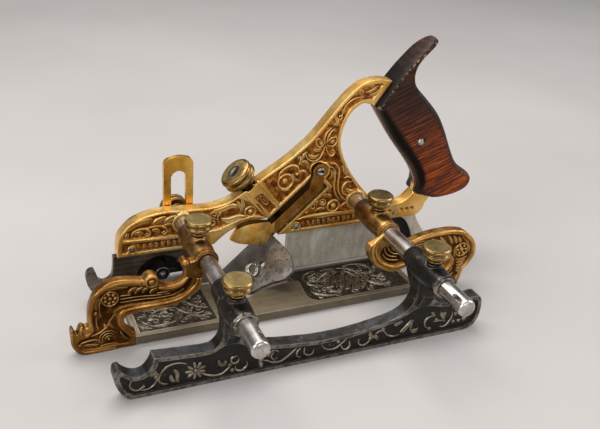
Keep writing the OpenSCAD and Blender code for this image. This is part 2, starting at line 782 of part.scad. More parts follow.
rear_scroll = concat(
  [[rx + 8, arm_z - 2], [rx, arm_z], [rx - 7, arm_z - 4]],
  curve([[rx - 14, arm_z - 7], [rx - 14.6, arm_z - 12], [rx - 12, arm_z - 19], [rx - 5, arm_z - 26],
         [rx + 4, arm_z - 30.4], [rx + 12, arm_z - 29.6], [rx + 21, arm_z - 27], [rx + 31, arm_z - 26],
         [rx + 40, arm_z - 25.6], [rx + 47, arm_z - 26.6], [rx + 51.6, 22.6], [rx + 50, 17.5],
         [rx + 44, 13.5],
         [rx + 34, 11], [plate_x1, plate_t + 3.5]]),
  [[plate_x1, 0]],
  curve([[rx + 61.5, 0], [rx + 63.4, 7], [rx + 64.6, 12.4], [rx + 67.4, 16], [rx + 71.2, 20.6],
         [rx + 72.8, 26.2],
         [rx + 72, 32.6], [rx + 68.4, arm_z - 13.4], [rx + 61.4, arm_z - 7.4], [rx + 53.8, arm_z - 5],
         [rx + 44.2, arm_z - 4.1], [rx + 35, arm_z - 4.5], [rx + 26.2, arm_z - 5.8],
         [rx + 17.6, arm_z - 8.4], [rx + 12, arm_z - 8]])
);

module bed_rear_bracket() {
  color(bronze)
    difference() {
      union() {
        upright(rear_scroll, plate_y0, plate_y0 + bracket_t);
        sleeve(rx, sleeve_d, sleeve_y1, sleeve_len);
        screw_seat(rx, bed_screw_y, sleeve_d);
        bed_tenon(1);
      }
      upright(rear_carve, plate_y0 - eps, plate_y0 + bracket_carve);
      arm_bore(rx, sleeve_y0, sleeve_y1);
      thumb_bore(rx, bed_screw_y);
      bed_screw(1);
    }
}

plate_border = 3.4;
plate_rim = 1.6;
plate_chamfer = 1.2;
mouth_x0 = -42;
mouth_x1 = 10;
pad_x0 = -55;
pad_x1 = 12;
pad_edge = curve([
  [mouth_x0, plate_y1 - 27.8], [-27.5, plate_y1 - 23.8], [-13, plate_y1 - 17.8], [1.7, plate_y1 - 14.6],
  [mouth_x1, plate_y1 - 14.6]
]);

module plate_cut(points, z0) {
  translate([0, 0, z0]) linear_extrude(plate_t + 2 * eps) polygon(points);
}

module bed_plate() {
  field_z = plate_t - plate_panel;
  front_field = [
    [plate_x0 + plate_border, plate_y0 + plate_border], [pad_x0, plate_y0 + plate_border],
    [pad_x0, plate_y1 - plate_rim], [plate_x0 + plate_border, plate_y1 - plate_rim]
  ];
  rear_field = concat(
    [[mouth_x1 - eps, plate_y1 - plate_rim], [mouth_x1 - eps, plate_y1 - 14.6]],
    curve([[pad_x1 + 1, plate_y1 - 14.8], [pad_x1, plate_y1 - 24], [pad_x1 - 1, plate_y1 - 33],
           [pad_x1 + 0.6, plate_y1 - 38.6], [pad_x1 + 4, plate_y0 + plate_border]]),
    [[plate_x1 - plate_border, plate_y0 + plate_border], [plate_x1 - plate_border, plate_y1 - plate_rim]]
  );
  color(steel)
    difference() {
      translate([plate_x0, 0, 0])
        rotate([90, 0, 90])
          linear_extrude(plate_x1 - plate_x0) polygon([
            [plate_y0 + plate_chamfer, 0], [plate_y1, 0], [plate_y1, plate_t], [plate_y0, plate_t],
            [plate_y0, plate_chamfer]
          ]);
      plate_cut(concat(pad_edge, [[mouth_x1, plate_y1 + eps], [mouth_x0, plate_y1 + eps]]), -eps);
      plate_cut(front_field, field_z);
      plate_cut(rear_field, field_z);
      bed_tenon(-1);
      bed_tenon(1);
      for (side = [-1, 1]) bed_screw(side);
    }
}

module bed_screws() {
  color(steel)
    for (side = [-1, 1]) bed_screw(side);
}

// Thumbscrew standing on an arm
module thumbscrew(x, y, seat_d) {
  r = thumb_d / 2;
  s = thumb_shank_d / 2;
  z0 = arm_r + pass;
  z1 = seat_d / 2 + 1;
  color(brass)
    translate([x, y, arm_z])
      rotate_extrude() polygon(concat(
        [[0, z0], [s, z0], [s, z1], [s + 2.1, z1], [s + 2.1, z1 + 1.8]],
        [[s + 0.6, z1 + 2.2], [s + 0.6, z1 + 3.7]],
        [for (a = [-75:30:75]) [r - 2.2 + 1.7 * cos(a), z1 + 5.6 + 1.7 * sin(a)]],
        [[r - 1.3, z1 + 7.6]],
        [for (a = [-60:30:60]) [r - 1.5 + 1.8 * cos(a), z1 + 9.6 + 1.6 * sin(a)]],
        [[r - 1, z1 + 11.4], [0, z1 + 11.4]]
      ));
}

module bed_front_thumbscrew() {
  thumbscrew(fx, bed_screw_y, sleeve_d);
}

module bed_rear_thumbscrew() {
  thumbscrew(rx, bed_screw_y, sleeve_d);
}

// Fence

mid_x = (fx + rx) / 2;
neck = 5.4;
fence_outline = concat(
  [[fx - 59, 0]],
  curve([[rx + 35, 0], [rx + 42, 2.6], [rx + 45.6, 8.6], [rx + 46.4, 16], [rx + 45.8, 21.6],
         [rx + 43.8, 24.8],
         [rx + 40, 25.6], [rx + 30, 24.4], [rx + 20, 24.2], [rx + 13, 25.8], [rx + 8.4, 29.6],
         [rx + neck + 0.4, arm_z - 15], [rx + neck, arm_z - 9]]),
  [[rx + neck, arm_z - 6], [rx - neck, arm_z - 6]],
  curve([[rx - neck, arm_z - 10], [rx - neck, arm_z - 16], [rx - 7.8, 28.3], [rx - 13.3, 22.6],
         [rx - 24.6, 18.6], [rx - 44, 15.6], [mid_x + 6, 14.6], [mid_x - 8, 14.7], [fx + 44, 15.8],
         [fx + 24.6, 18.6], [fx + 13.3, 22.8], [fx + 7.8, 28.3], [fx + neck, arm_z - 16],
         [fx + neck, arm_z - 9]]),
  [[fx + neck, arm_z - 6], [fx - neck, arm_z - 6]],
  curve([[fx - neck, arm_z - 10], [fx - neck, arm_z - 15], [fx - 5.8, 30.7], [fx - 8.8, 25.6],
         [fx - 14, 23.2], [fx - 30, 24]]),
  curve([[fx - 46, 25.4], [fx - 47, 21.5], [fx - 50.2, 16.8], [fx - 54.2, 15], [fx - 59, 16],
         [fx - 63, 19], [fx - 65.4, 21.8], [fx - 68, 20.8], [fx - 68.8, 16.4], [fx - 67.4, 10.4],
         [fx - 64.4, 4.4], [fx - 61, 1]])
);
vine_panel = concat(
  [[fx - 57, 2.4], [rx + 35, 2.4]],
  curve([[rx + 40.6, 4.6], [rx + 43.4, 9.6], [rx + 44, 16], [rx + 43, 21.4], [rx + 40, 23.2]]),
  curve([[rx + 30, 22], [rx + 16, 22.2], [rx + 4, 25.4], [rx - 4, 24.6], [rx - 14, 19.6],
         [rx - 26, 15.8],
         [rx - 44, 13.2], [mid_x + 6, 12.2], [mid_x - 8, 12.3], [fx + 44, 13.4], [fx + 25, 16],
         [fx + 13, 19.8], [fx + 4, 24.6],
         [fx - 4, 25], [fx - 13, 21], [fx - 30, 21.6], [fx - 43.6, 22.8]]),
  curve([[fx - 44.6, 19], [fx - 48.8, 14.4], [fx - 54.4, 12.6], [fx - 59.6, 13.6], [fx - 64.4, 17.6],
         [fx - 65.6, 14.6], [fx - 64.4, 10], [fx - 62, 5.8]])
);

// Webs that carry the boss on both sides of the fence
module boss_rib(x) {
  w = 2 * neck - 2;
  translate([x + w / 2, 0, 0])
    rotate([0, -90, 0])
      linear_extrude(w)
        polygon([
          [24, fence_y0 + eps], [32, fence_y1 - eps], [arm_z - 8, boss_y1 - 2], [arm_z - 4, boss_y1 - 2],
          [arm_z - 4, boss_y0 + 4], [arm_z - 9, boss_y0 + 5], [arm_z - 14, fence_y0 - 7]
        ]);
}

module fence() {
  color(iron)
    difference() {
      union() {
        upright(fence_outline, fence_y0, fence_y1);
        for (x = [fx, rx]) {
          sleeve(x, boss_d, boss_y1, boss_len);
          screw_seat(x, fence_screw_y, boss_d);
          boss_rib(x);
        }
      }
      upright(vine_panel, fence_y0 - eps, fence_y0 + fence_panel);
      for (x = [fx, rx]) {
        arm_bore(x, boss_y0, boss_y1 + 2);
        thumb_bore(x, fence_screw_y);
      }
    }
}

module fence_front_thumbscrew() {
  thumbscrew(fx, fence_screw_y, boss_d);
}

module fence_rear_thumbscrew() {
  thumbscrew(rx, fence_screw_y, boss_d);
}

// Depth stop

stop_y0 = far_y + 0.2;
stop_y1 = stop_y0 + stop_t;
stop_foot = shoe_z + 4;
web_t = 3;
shoe_x0 = fx - 32;
shoe_x1 = fx + 13;
stop_pin = [fx - 13, shoe_z + 4.5];
stop_pin_r = 5.2;
stop_rivet_places = [[fx, shoe_z + 9], [fx, shoe_z + 18]];
stop_rivet_d = 3;

module depth_stop() {
  h = stop_w / 2;
  shoulder = 5;
  slot_low = arm_z - 12;
  slot_high = stop_top - 10.3 - stop_slot / 2;
  color(bronze)
    difference() {
      upright(concat(
        [[fx - h, stop_foot], [fx + h, stop_foot]],
        curve([[fx + h, stop_top - shoulder], [fx + h - 1.2, stop_top - 2.6], [fx + h - 4, stop_top - 1],
               [fx, stop_top], [fx - h + 4, stop_top - 1], [fx - h + 1.2, stop_top - 2.6],
               [fx - h, stop_top - shoulder]])
      ), stop_y0, stop_y1);
      rod(fx, slot_low, stop_slot / 2, stop_y0 - eps, stop_y1 + eps);
      rod(fx, slot_high, stop_slot / 2, stop_y0 - eps, stop_y1 + eps);
      translate([fx - stop_slot / 2, stop_y0 - eps, slot_low])
        cube([stop_slot, stop_t + 2 * eps, slot_high - slot_low]);
      for (p = stop_rivet_places) rod(p.x, p.y, stop_rivet_d / 2, stop_y0 - eps, stop_y1 + eps);
      rod(stop_pin.x, stop_pin.y, stop_pin_r, stop_y0 - eps, stop_y1 + eps);
    }
}

module depth_stop_shoe() {
  web = concat(
    [[shoe_x0, shoe_z], [shoe_x1, shoe_z]],
    curve([[shoe_x1, shoe_z + 14], [shoe_x1 - 4, shoe_z + 22], [shoe_x1 - 13, shoe_z + 26.5],
           [shoe_x0 + 16, shoe_z + 26.5], [shoe_x0 + 5, shoe_z + 21], [shoe_x0, shoe_z + 12]])
  );
  color(iron)
    difference() {
      union() {
        upright(web, stop_y1, stop_y1 + web_t);
        translate([shoe_x0, stop_y0, shoe_z])
          cube([shoe_x1 - shoe_x0, stop_t + web_t + 6, stop_foot - shoe_z]);
        rod(stop_pin.x, stop_pin.y, stop_pin_r, -1, stop_y1 + 1);
        rod(stop_pin.x, stop_pin.y, 2.9, -skate_t / 2 - 0.6, 0);
      }
      for (p = stop_rivet_places) rod(p.x, p.y, stop_rivet_d / 2, stop_y1 - eps, stop_y1 + web_t + eps);
    }
}

module depth_stop_rivets() {
  color(steel)
    for (p = stop_rivet_places) rod(p.x, p.y, stop_rivet_d / 2, stop_y0, stop_y1 + web_t);
}

module depth_stop_thumbscrew() {
  s = thumb_shank_d / 2;
  r = stop_thumb_d / 2;
  shoulder_r = stop_slot / 2 - pass;
  y = stop_y1 + pass;
  // Profile runs away from the stock, so the turning is mirrored to the far side
  color(brass)
    translate([fx, 0, arm_z])
      rotate([-90, 0, 0])
        rotate_extrude() polygon(concat(
          [[0, pass], [s, pass], [s, stop_y0], [shoulder_r, stop_y0], [shoulder_r, y]],
          [[shoulder_r + 2, y], [shoulder_r + 2, y + 1.6]],
          [[s + 1, y + 2], [s + 1, y + 4.2]],
          [for (a = [-75:30:75]) [r - 2 + 1.9 * cos(a), y + 6.2 + 1.9 * sin(a)]],
          [[r - 1.3, y + 8.3]],
          [for (a = [-75:30:75]) [r - 2 + 2 * cos(a), y + 10.5 + 2 * sin(a)]],
          [[r - 2.4, y + 12.2], [0, y + 12.2]]
        ));
}

module placed() {
  translate([-origin_x, 0, 0]) children();
}

placed() main_stock();
placed() front_skate();
placed() rear_skate();
placed() skate_rivets();
placed() handle_tote();
placed() handle_rivet();
placed() front_arm();
placed() rear_arm();
placed() cutter();
placed() cutter_wire();
placed() clamp_lever();
placed() clamp_pivot_screw();
placed() clamp_wheel();
placed() clamp_screw();
placed() bed_front_bracket();
placed() bed_rear_bracket();
placed() bed_plate();
placed() bed_screws();
placed() bed_front_thumbscrew();
placed() bed_rear_thumbscrew();
placed() fence();
placed() fence_front_thumbscrew();
placed() fence_rear_thumbscrew();
placed() depth_stop();
placed() depth_stop_shoe();
placed() depth_stop_rivets();
placed() depth_stop_thumbscrew();
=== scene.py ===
import math

import bmesh
import bpy
from mathutils import Matrix, Vector


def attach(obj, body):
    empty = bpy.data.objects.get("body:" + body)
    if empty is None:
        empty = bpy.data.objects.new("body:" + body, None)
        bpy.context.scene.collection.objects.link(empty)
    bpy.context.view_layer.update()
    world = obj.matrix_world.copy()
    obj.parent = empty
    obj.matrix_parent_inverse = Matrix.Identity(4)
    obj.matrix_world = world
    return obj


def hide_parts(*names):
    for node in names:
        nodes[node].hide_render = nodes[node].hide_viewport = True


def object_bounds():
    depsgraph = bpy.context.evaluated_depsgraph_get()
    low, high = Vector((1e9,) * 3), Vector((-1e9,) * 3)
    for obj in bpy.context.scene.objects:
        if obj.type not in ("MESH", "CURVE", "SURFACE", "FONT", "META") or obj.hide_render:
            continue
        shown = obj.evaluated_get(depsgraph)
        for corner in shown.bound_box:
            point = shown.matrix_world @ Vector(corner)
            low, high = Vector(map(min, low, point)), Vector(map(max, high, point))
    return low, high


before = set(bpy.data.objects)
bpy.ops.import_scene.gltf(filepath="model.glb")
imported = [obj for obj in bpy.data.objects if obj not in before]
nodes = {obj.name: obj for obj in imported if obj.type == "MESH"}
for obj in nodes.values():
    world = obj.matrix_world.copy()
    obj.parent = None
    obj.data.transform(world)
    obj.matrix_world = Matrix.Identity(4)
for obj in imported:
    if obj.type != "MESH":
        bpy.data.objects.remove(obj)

cad_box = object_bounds()

# Lengths in the lists below are millimetres, x is measured from midway between the arms,
# y from the stock's middle plane and z from the sole.
ORIGIN_X = 52


def at(x, y, z):
    return Vector(((x - ORIGIN_X) / 1000, y / 1000, z / 1000))


# Materials


class Look:
    """One procedural material, placed in metres in the shared frame.

    Its methods add nodes and return an output socket, apart from set and bump, which feed the shader.
    """

    def __init__(self, name, **fixed):
        self.material = bpy.data.materials.new(name)
        self.material.use_nodes = True
        self.tree = self.material.node_tree
        self.shader = self.tree.nodes["Principled BSDF"]
        self.set(**fixed)
        self.place = self.add("ShaderNodeTexCoord").outputs["Object"]
        self.geometry = self.add("ShaderNodeNewGeometry").outputs

    def feed(self, socket, value):
        if isinstance(value, bpy.types.NodeSocket):
            self.tree.links.new(value, socket)
        else:
            socket.default_value = value

    def set(self, **values):
        for name, value in values.items():
            self.feed(self.shader.inputs[name.replace("_", " ")], value)

    def add(self, kind, inputs=(), **settings):
        node = self.tree.nodes.new(kind)
        for name, value in settings.items():
            setattr(node, name, value)
        for name, value in dict(inputs).items():
            self.feed(node.inputs[name], value)
        return node

    def mapped(self, scale=(1, 1, 1), rotation=(0, 0, 0), vector=None):
        inputs = {"Vector": vector or self.place, "Rotation": rotation, "Scale": scale}
        return self.add("ShaderNodeMapping", inputs).outputs[0]

    def noise(self, scale, detail=4, rough=0.55, warp=0, vector=None):
        inputs = {"Vector": vector or self.place, "Scale": scale, "Detail": detail}
        inputs.update({"Roughness": rough, "Distortion": warp})
        return self.add("ShaderNodeTexNoise", inputs).outputs[0]

    def spots(self, scale):
        """Distance from the nearest of many scattered points, in cells."""
        inputs = {"Vector": self.place, "Scale": scale}
        return self.add("ShaderNodeTexVoronoi", inputs).outputs["Distance"]

    def split(self, vector):
        return self.add("ShaderNodeSeparateXYZ", {0: vector}).outputs

    def calc(self, operation, a, b=0.0):
        return self.add("ShaderNodeMath", {0: a, 1: b}, operation=operation).outputs[0]

    def band(self, value, low, high, to_low=0.0, to_high=1.0):
        """Smooth step from to_low at low to to_high at high. High may be the lesser of the two."""
        inputs = {0: value, 1: low, 2: high, 3: to_low, 4: to_high}
        return self.add("ShaderNodeMapRange", inputs, interpolation_type="SMOOTHSTEP").outputs[0]

    def mix(self, factor, a, b):
        return self.add("ShaderNodeMix", {0: factor, 6: a, 7: b}, data_type="RGBA").outputs[2]

    def ramp(self, value, *stops):
        node = self.add("ShaderNodeValToRGB", {0: value})
        elements = node.color_ramp.elements
        while len(elements) < len(stops):
            elements.new(0.5)
        for element, (position, colour) in zip(elements, stops):
            element.position = position
            element.color = colour
        return node.outputs[0]

    def facing(self, axis):
        """How squarely the surface faces along an axis, 0 to 1."""
        return self.calc("ABSOLUTE", self.split(self.geometry["True Normal"])[axis])

    def dot(self, a, b):
        inputs = {0: a, 1: b}
        return self.add("ShaderNodeVectorMath", inputs, operation="DOT_PRODUCT").outputs["Value"]

    def rounded(self, radius, samples):
        """The surface's normal, with edges rounded to a radius."""
        return self.add("ShaderNodeBevel", {"Radius": radius}, samples=samples).outputs[0]

    def towards(self, direction, radius=0):
        """Cosine between a direction and the surface's normal, with edges rounded to a radius."""
        normal = self.rounded(radius, 8) if radius else self.geometry["Normal"]
        return self.dot(normal, direction)

    def along(self, direction):
        """Distance in metres along a direction."""
        return self.dot(self.place, direction)

    def both(self, *factors):
        """Product of factors."""
        result = factors[0]
        for factor in factors[1:]:
            result = self.calc("MULTIPLY", result, factor)
        return result

    def either(self, *factors):
        """Largest of factors."""
        result = factors[0]
        for factor in factors[1:]:
            result = self.calc("MAXIMUM", result, factor)
        return result

    def edges(self, radius):
        """Nearly 1 on edges and 0 on flat faces."""
        return self.band(self.dot(self.rounded(radius, 4), self.geometry["Normal"]), 0.995, 0.86)

    def shade_in_hollows(self, distance):
        """Nearly 1 in corners and carving, 0 on open faces: ambient occlusion, a mask for painted shade."""
        node = self.add("ShaderNodeAmbientOcclusion", {"Distance": distance}, samples=6)
        return self.band(node.outputs["AO"], 0.85, 0.35)

    def bump(self, height, strength, distance):
        inputs = {"Height": height, "Strength": strength, "Distance": distance}
        self.set(Normal=self.add("ShaderNodeBump", inputs).outputs[0])


def rgb(*levels):
    """Linear colour, with alpha, from the 0 to 255 levels that a picture shows."""
    linear = (((v / 255 + 0.055) / 1.055) ** 2.4 if v > 10 else v / 255 / 12.92 for v in levels)
    return (*linear, 1)


def gilt_look():
    """Gilt bronze, bright on rims and high relief, brown in the carved fields, with painted shade in
    crevices and on the tang's front and a painted highlight on edges.
    """
    rim_y, field_y = 0.0046, 0.0039
    tang_front, tang_from, tang_to = (-0.815, 0, -0.58), -0.083, -0.0845
    look = Look("gilt_bronze", Metallic=0.85)
    depth = look.band(look.calc("ABSOLUTE", look.split(look.place)[1]), rim_y, field_y)
    field = look.both(depth, look.band(look.facing(1), 0.15, 0.4))
    # Painted shade: crevices and carving darkened, on top of the brown of the carved fields.
    shaded_crevices = look.shade_in_hollows(0.002)
    dark = look.either(field, look.both(shaded_crevices, 0.75))
    gold = look.ramp(
        look.noise(45, 6, 0.55),
        (0.34, rgb(216, 155, 72)), (0.5, rgb(242, 189, 101)), (0.66, rgb(253, 216, 142))
    )
    brown = look.ramp(
        look.noise(260, 5, 0.6),
        (0.34, rgb(82, 43, 13)), (0.5, rgb(158, 93, 33)), (0.66, rgb(230, 161, 74))
    )
    colour = look.mix(dark, gold, brown)
    # Painted shade in crevices, dark brown.
    colour = look.mix(look.band(shaded_crevices, 0.35, 0.95, 0, 0.8), colour, rgb(48, 23, 7))
    # Painted highlight: edges lightened to pale gold.
    colour = look.mix(look.both(look.edges(0.0008), 0.7), colour, rgb(255, 226, 156))
    # Painted shade: the tang's forward and downward facing front darkened to dim brown.
    shaded_tang = look.both(
        look.band(look.towards(tang_front), 0.5, 0.8),
        look.band(look.along(tang_front), tang_from, tang_to),
        0.85
    )
    look.set(Base_Color=look.mix(shaded_tang, colour, rgb(88, 58, 26)))
    look.set(Roughness=look.band(look.noise(140, 5), 0.3, 0.7, 0.24, 0.4))
    grain = look.calc("ADD", look.noise(900, 3), look.both(look.noise(2400, 2), 0.5))
    look.bump(look.calc("ADD", grain, look.both(look.noise(420, 4), field, 2)), 0.25, 0.0003)
    return look.material


def stop_look():
    """Plain gilt plate, black where it goes down behind the skate."""
    gilt_z, black_z = 0.0345, 0.0325
    look = Look("gilt_plate", Metallic=1)
    gold = look.ramp(
        look.noise(60, 6, 0.6),
        (0.32, rgb(206, 148, 56)), (0.52, rgb(236, 184, 84)), (0.7, rgb(248, 208, 122))
    )
    low = look.band(look.split(look.place)[2], gilt_z, black_z)
    look.set(Base_Color=look.mix(low, gold, rgb(24, 22, 21)))
    look.set(Metallic=look.band(low, 0, 1, 1, 0.3))
    look.set(Roughness=look.band(look.noise(180, 5), 0.3, 0.7, 0.24, 0.42))
    look.bump(look.noise(1200, 3), 0.15, 0.0003)
    return look.material


def bracket_look(name, dark, middle, light):
    """Bronze that is brown in the carved field and darker in hollows as painted shade, rubbed bright on
    rims and edges, and dull on the sleeve.
    """
    field_front, field_back = (-0.0589, -0.058), (-0.0565, -0.057)
    sleeve_y, sleeve_end_y = (-0.0545, -0.052), (-0.0275, -0.026)
    look = Look(name, Metallic=1)
    y = look.split(look.place)[1]
    floor = look.both(look.band(y, *field_front), look.band(y, *field_back))
    field = look.both(floor, look.band(look.facing(1), 0.15, 0.5))
    # Brown carved field, with painted shade added in hollows.
    field_and_shaded_hollows = look.either(field, look.both(look.shade_in_hollows(0.003), 0.8))
    skin = look.ramp(
        look.noise(60, 6, 0.6), (0.32, rgb(*dark)), (0.5, rgb(*middle)), (0.68, rgb(*light))
    )
    brown = look.ramp(
        look.noise(230, 5, 0.6),
        (0.32, rgb(44, 26, 10)), (0.55, rgb(92, 57, 22)), (0.72, rgb(142, 96, 44))
    )
    worn = look.both(look.edges(0.0014), look.band(look.noise(160, 5), 0.3, 0.55, 0.35, 1))
    colour = look.mix(worn, look.mix(field_and_shaded_hollows, skin, brown), rgb(240, 198, 128))
    dull = look.ramp(
        look.noise(90, 6, 0.6),
        (0.32, rgb(104, 76, 40)), (0.5, rgb(140, 106, 60)), (0.68, rgb(170, 136, 86))
    )
    colour = look.mix(look.band(y, *sleeve_y), colour, dull)
    tarnish = look.ramp(look.noise(120, 6, 0.6), (0.34, rgb(62, 52, 48)), (0.66, rgb(118, 104, 96)))
    look.set(Base_Color=look.mix(look.band(y, *sleeve_end_y), colour, tarnish))
    look.set(Roughness=look.band(look.noise(180, 5), 0.3, 0.7, 0.26, 0.44))
    look.bump(look.noise(700, 4), 0.25, 0.0004)
    return look.material


def lever_look():
    """Tan bar with painted shade on its sides, and a bright leaf-shaped foot whose top facet takes the same
    painted shade.
    """
    bar_x, foot_x = -0.0505, -0.052
    look = Look("lever_bronze", Metallic=1)
    foot = look.band(look.split(look.place)[0], bar_x, foot_x)
    # The foot's top facet is left out of the bright leaf and gets the bar's colour, with its painted shade.
    leaf = look.both(foot, look.band(look.towards((0, 0, 1)), 0.75, 0.55))
    gold = look.ramp(
        look.noise(130, 6, 0.6),
        (0.3, rgb(224, 152, 62)), (0.5, rgb(252, 198, 102)), (0.7, rgb(255, 228, 154))
    )
    brown = look.ramp(
        look.noise(150, 6, 0.6),
        (0.3, rgb(150, 102, 44)), (0.55, rgb(194, 138, 66)), (0.74, rgb(224, 172, 98))
    )
    # Painted shade: faces not turned along y, which are the bar's sides in the slot and the foot's top,
    # darkened to near black brown.
    brown = look.mix(look.band(look.facing(1), 0.5, 0.8), rgb(58, 37, 16), brown)
    look.set(Base_Color=look.mix(leaf, brown, gold))
    look.set(Roughness=look.band(look.noise(220, 5), 0.3, 0.7, 0.26, 0.44))
    look.bump(look.noise(600, 4), 0.25, 0.0004)
    return look.material


def steel_look(name, tones, rough, brush, pits, rust, metal=1.0, pit_scale=520, recess=False, shade=None):
    """Steel of three grey tones, brushed along x, with dark pits, brown patches and painted shade in
    hollows.

    A recess in its middle is black. Shade is a direction, and where along it the painted shade is full and
    ends.
    """
    face_y, recess_y = 0.0018, 0.0014
    look = Look(name, Metallic=metal)
    streaks = look.noise(1, 6, 0.6, vector=look.mapped(brush))
    cloud = look.noise(60, 6, 0.6)
    grey = look.ramp(
        look.calc("ADD", look.both(streaks, 0.5), look.both(cloud, 0.5)),
        (0.36, rgb(*tones[0])), (0.5, rgb(*tones[1])), (0.62, rgb(*tones[2]))
    )
    brown = look.both(look.band(look.noise(38, 6, 0.65), 0.54, 0.7), rust)
    stained = look.mix(brown, grey, rgb(112, 84, 62))
    clusters = look.band(look.noise(170, 4, 0.6), 0.38, 0.54)
    specks = look.both(look.band(look.spots(pit_scale), 0.36, 0.16), clusters, pits)
    specks = look.either(specks, look.band(look.noise(150, 3, 0.5), 0.5, 0.75, 0, 0.5 * pits))
    # Dark pits, with painted shade in hollows.
    dark = look.either(specks, look.both(look.shade_in_hollows(0.0025), 0.7))
    # Painted shade, darkening towards one side along a direction.
    if shade:
        direction, full, ends = shade
        dark = look.either(dark, look.band(look.along(direction), full, ends, 0.62, 0))
    colour = look.mix(dark, stained, rgb(52, 46, 42))
    if recess:
        middle = look.band(look.calc("ABSOLUTE", look.split(look.place)[1]), face_y, recess_y)
        floor = look.both(middle, look.band(look.facing(1), 0.3, 0.6))
        colour = look.mix(floor, colour, rgb(14, 13, 13))
    look.set(Base_Color=colour)
    look.set(Roughness=look.band(look.calc("ADD", cloud, look.both(specks, 0.5)), 0.3, 0.9, *rough))
    look.bump(look.calc("SUBTRACT", look.both(streaks, 0.3), look.both(specks, 0.7)), 0.3, 0.0003)
    return look.material


def plate_look():
    """Brownish steel with blackened fields under the relief and bright edges."""
    rim_z, field_z = 0.0062, 0.0058
    look = Look("plate_steel", Metallic=1)
    up = look.band(look.towards((0, 0, 1)), 0.5, 0.8)
    field = look.both(up, look.band(look.split(look.place)[2], rim_z, field_z))
    streaks = look.noise(1, 6, 0.6, vector=look.mapped((24, 420, 420)))
    skin = look.ramp(
        look.calc("ADD", look.both(streaks, 0.4), look.both(look.noise(90, 6, 0.6), 0.6)),
        (0.3, rgb(112, 103, 87)), (0.5, rgb(128, 119, 101)), (0.7, rgb(146, 136, 117))
    )
    black = look.ramp(
        look.noise(420, 5, 0.7), (0.35, rgb(36, 33, 30)), (0.55, rgb(66, 60, 53)), (0.7, rgb(110, 102, 89))
    )
    colour = look.mix(field, skin, black)
    look.set(Base_Color=look.mix(look.both(look.edges(0.0007), 0.8), colour, rgb(216, 208, 194)))
    look.set(Roughness=look.band(look.noise(240, 5), 0.3, 0.7, 0.46, 0.54))
    look.bump(look.calc("ADD", look.both(streaks, 0.4), look.noise(700, 3)), 0.12, 0.0003)
    return look.material


def japan_look():
    """Black japan, worn to grey iron on edges, on the ledge and round the arms; the ledge's top is bare
    iron tinted blue grey as a painted reflection of the sky.
    """
    collar_y, rim_front, rim_back = (-0.1235, -0.1265), (-0.1085, -0.108), (-0.1073, -0.1077)
    boss_z, ledge_z = 0.04, 0.035
    look = Look("japanned_iron", Coat_Weight=0.05, Coat_Roughness=0.2, Specular_IOR_Level=0.22)
    _, y, z = look.split(look.place)
    wear = look.both(look.edges(0.0011), look.band(look.noise(240, 5), 0.36, 0.58, 0.2, 1))
    rubbed = look.both(look.band(look.noise(110, 7, 0.7), 0.63, 0.72), 0.5)
    collar = look.both(look.band(y, *collar_y), look.band(look.noise(260, 6, 0.65), 0.48, 0.58), 0.9)
    rim = look.both(look.band(y, *rim_back), look.band(look.facing(1), 0.6, 0.9), look.band(y, *rim_front))
    rim = look.both(rim, look.band(look.noise(210, 6, 0.65), 0.4, 0.62, 0.08, 0.6))
    bare = look.either(wear, rubbed, collar, rim)
    # Low upward faces of the ledge: bare iron, its blue grey a painted reflection of the sky.
    top = look.both(look.band(look.towards((0, 0, 1)), 0.7, 0.9), look.band(z, boss_z, ledge_z))
    ledge = look.both(top, look.band(look.noise(160, 7, 0.68), 0.4, 0.68, 0.05, 0.45))
    black = look.ramp(look.noise(120, 5), (0.35, rgb(15, 12, 10)), (0.7, rgb(34, 29, 25)))
    colour = look.mix(ledge, black, rgb(98, 101, 106))
    look.set(Base_Color=look.mix(bare, colour, rgb(164, 155, 142)))
    look.set(Metallic=look.band(look.either(bare, ledge), 0.1, 0.8))
    look.set(Roughness=look.band(look.noise(300, 4), 0.3, 0.7, 0.26, 0.44))
    look.bump(look.noise(520, 5, 0.6), 0.3, 0.0005)
    return look.material


def wood_look():
    """Dark rosewood with fine curly streaks across the handle, red where the hand has polished it, with
    painted shade on the faces turned to the front and the back.
    """
    dark_z, red_z = 0.128, 0.075
    grain_slope = math.radians(22)
    look = Look("rosewood", Specular_IOR_Level=0.2)
    grain = look.mapped(rotation=(0, grain_slope, 0))
    streaks = look.noise(1, 6, 0.62, 0.4, vector=look.mapped((48, 70, 1050), vector=grain))
    pores = look.noise(1, 4, 0.7, vector=look.mapped((140, 200, 2600), vector=grain))
    low = look.band(look.split(look.place)[2], dark_z, red_z)
    warm = look.both(low, look.band(look.noise(38, 4), 0.3, 0.6, 0.55, 1))
    # Painted shade masks: faces turned to the front and to the back.
    front = look.band(look.towards((-0.85, 0, -0.53), 0.007), 0.1, 0.35)
    back = look.band(look.towards((0.85, 0, 0.53), 0.006), 0.12, 0.4)
    warm = look.both(warm, look.calc("SUBTRACT", 1, front))
    red = look.ramp(
        streaks,
        (0.34, rgb(44, 16, 7)), (0.45, rgb(86, 34, 10)), (0.55, rgb(152, 66, 13)), (0.66, rgb(204, 104, 26))
    )
    dark = look.ramp(streaks, (0.34, rgb(28, 14, 9)), (0.5, rgb(54, 29, 19)), (0.66, rgb(84, 49, 33)))
    colour = look.mix(warm, dark, red)
    # Painted shade on the front and back faces.
    colour = look.mix(look.both(front, 0.92), colour, rgb(10, 6, 5))
    colour = look.mix(look.both(back, 0.75), colour, rgb(22, 11, 8))
    colour = look.mix(look.band(pores, 0.55, 0.68, 0, 0.75), colour, rgb(26, 12, 8))
    corners = look.band(look.geometry["Pointiness"], 0.508, 0.53)
    rub = look.both(corners, look.band(look.noise(420, 5), 0.52, 0.6, 0, 0.9))
    look.set(Base_Color=look.mix(rub, colour, rgb(178, 148, 122)))
    look.set(Roughness=look.band(pores, 0.3, 0.7, 0.36, 0.52))
    look.bump(look.calc("ADD", pores, look.both(streaks, 0.5)), 0.2, 0.0004)
    return look.material


